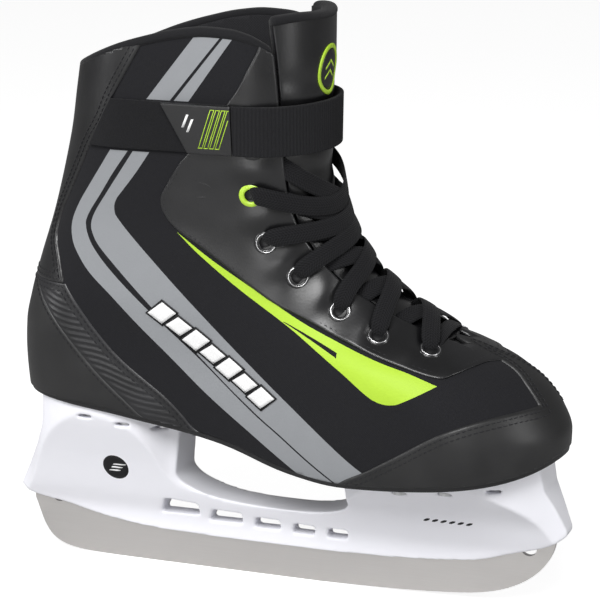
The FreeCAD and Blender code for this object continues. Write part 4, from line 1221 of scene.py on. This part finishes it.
rows = range(len(eyelets["rows"]) - 1)
low = [strand(row, 1, lace["lowLift"]) for row in rows]
high = [strand(row, -1, lace["highLift"]) for row in rows]
first, firstFar = seats["lateral"][0], seats["medial"][0]
bar = []
for t in np.linspace(0.06, 0.94, 26):
    guess = first[0].lerp(firstFar[0], t)
    hit, normal, _, _ = skinTree.ray_cast(guess + Vector((0.3, 0, 1)) * 60, -Vector((0.3, 0, 1)).normalized())
    rise = min(1, t / 0.2, (1 - t) / 0.2)
    bar.append((hit + normal * (-1.6 + 2.8 * rise), normal, lace["width"] * 0.8, lace["thick"]))
low.append(smoothRoute(bar))
ribbon("laces_under", low, looks["lace"], ["lace_under"], "lace_fabric")
ribbon("laces_over", high, looks["lace"], ["lace_over"], "lace_fabric")
print("eyelets and laces")

# blade holder: the moulded plastic gets soft edges everywhere
mould = {"voxel": 0.75, "smooth": 0.5, "passes": 9}
source = nodes["blade_holder"]
holder = bpy.data.objects.new("moulded_holder", source.data.copy())
bpy.context.scene.collection.objects.link(holder)
remesh = holder.modifiers.new("remesh", "REMESH")
remesh.mode, remesh.voxel_size, remesh.use_smooth_shade = "VOXEL", mould["voxel"] * mm, True
soften = holder.modifiers.new("soften", "SMOOTH")
soften.factor, soften.iterations = mould["smooth"], mould["passes"]
done = bpy.data.meshes.new_from_object(holder.evaluated_get(bpy.context.evaluated_depsgraph_get()))
holder.modifiers.clear()
holder.data = done
done.materials.clear()
done.materials.append(looks["holder"])
done.polygons.foreach_set("use_smooth", [True] * len(done.polygons))
place(holder, "root", ["blade_holder"], "holder_plastic")
holderTree = treeOf(holder)
heelMark = {"at": (-88.7, 53.5), "radius": 7.6}
hx, hz = heelMark["at"]
slab("heel_disc", [ringGrid(heelMark["at"], 0.01, heelMark["radius"], [0, 2])], -0.2, 0.12, looks["ink"],
     holderTree,
     fromSide, "root")
slab("heel_disc_bars", [fourCorners([(hx - 4.6 + k, hz - 2.4 + k * 1.2), (hx + 2.2 + k, hz - 2.4 + k * 1.2),
                                     (hx + 3.0 + k,
                                      hz - 1.5 + k * 1.2), (hx - 3.8 + k, hz - 1.5 + k * 1.2)], [0, 2], 4)
                        for k in (0, 1.6, 3.2)], -0.1, 0.24, looks["white"], holderTree, fromSide, "root")
toeMark = {"at": (76.0, 42.5), "pitch": 4.4, "count": 6, "width": 3.4, "height": 2.4, "lean": 1.1}
dashes = []
for k in range(toeMark["count"]):
    x, z = toeMark["at"][0] + k * toeMark["pitch"], toeMark["at"][1]
    w, h, lean = toeMark["width"], toeMark["height"], toeMark["lean"]
    dashes.append(fourCorners([(x, z), (x + w, z), (x + w + lean, z + h), (x + lean, z + h)], [0, 2], 3))
slab("toe_dashes", dashes, -0.1, 0.12, looks["ink"], holderTree, fromSide, "root")
print("holder")


# floor, light and camera
studio = {"floorSize": 9.0, "world": 0.20, "key": 27, "fill": 6, "front": 6, "low": 5}
view = {"azimuth": 20.0, "elevation": 14.0, "distance": 1.2, "aim": (0.007, 0.0, 0.147), "lens": 144}


def floorLook(name, low, high, glow):
    g = Graph(name)
    tint = g.blend(g.noise(0.6, 2), (low, low, low), (high, high, high))
    return g.finish(colour=tint, rough=0.85, specular=0.1, glow=(1.0, 1.0, 1.0, 1.0), glowStrength=glow)


def flatFloor(name, depth, look):
    corners = np.array([(-1, -1, 0), (1, -1, 0), (1, 1, 0), (-1, 1, 0)]) * studio["floorSize"] / mm
    floor = makeMesh(name, corners - np.array([0, 0, depth]), [(0, 1, 2, 3)], False, None, [look])
    return floor


# the white floor is what shows, and the grey one under it is what lights the skate from below
shown = flatFloor("studio_floor", 0.02, floorLook("white_floor", 0.42, 0.46, 0.84))
shown.visible_diffuse, shown.visible_glossy, shown.visible_shadow = False, False, False
bounce = flatFloor("studio_bounce", 0.5, floorLook("bounce_floor", 0.44, 0.50, 0.0))
bounce.visible_camera = False

world = bpy.data.worlds.new("studio")
bpy.context.scene.world = world
world.use_nodes = True
world.node_tree.nodes["Background"].inputs["Color"].default_value = (1, 1, 1, 1)
backdrop = world.node_tree
path = backdrop.nodes.new("ShaderNodeLightPath")
seen = backdrop.nodes.new("ShaderNodeMapRange")
seen.inputs["To Min"].default_value, seen.inputs["To Max"].default_value = studio["world"], 1.0
backdrop.links.new(path.outputs["Is Camera Ray"], seen.inputs["Value"])
backdrop.links.new(seen.outputs[0], backdrop.nodes["Background"].inputs["Strength"])


def softLight(name, place, aim, size, power):
    light = bpy.data.lights.new(name, "AREA")
    light.shape, light.size, light.size_y, light.energy = "RECTANGLE", size[0], size[1], power
    lamp = bpy.data.objects.new(name, light)
    lamp.location = place
    lamp.rotation_euler = (Vector(aim) - Vector(place)).to_track_quat("-Z", "Y").to_euler()
    bpy.context.scene.collection.objects.link(lamp)


softLight("key_softbox", (0.1, -1.3, 1.35), (0, 0, 0.15), (1.0, 0.7), studio["key"])
softLight("low_strip", (-0.25, -1.6, 0.25), (0, 0, 0.02), (1.2, 0.3), studio["low"])
softLight("side_strip", (-1.2, -0.7, 0.7), (0, 0, 0.15), (0.25, 1.0), studio["fill"])
softLight("front_strip", (1.4, -0.3, 0.6), (0, 0, 0.15), (0.3, 1.0), studio["front"])

camera = bpy.data.objects.new("camera", bpy.data.cameras.new("camera"))
bpy.context.scene.collection.objects.link(camera)
turn, tilt = math.radians(view["azimuth"]), math.radians(view["elevation"])
backward = Vector((math.sin(turn) * math.cos(tilt), -math.cos(turn) * math.cos(tilt), math.sin(tilt)))
camera.location = Vector(view["aim"]) + backward * view["distance"]
camera.rotation_euler = (-backward).to_track_quat("-Z", "Y").to_euler()
camera.data.lens, camera.data.sensor_width = view["lens"], 36
camera.data.clip_start, camera.data.clip_end = 0.05, 50
bpy.context.scene.camera = camera
bpy.context.scene.view_settings.view_transform = "Standard"

print("all pieces in place")
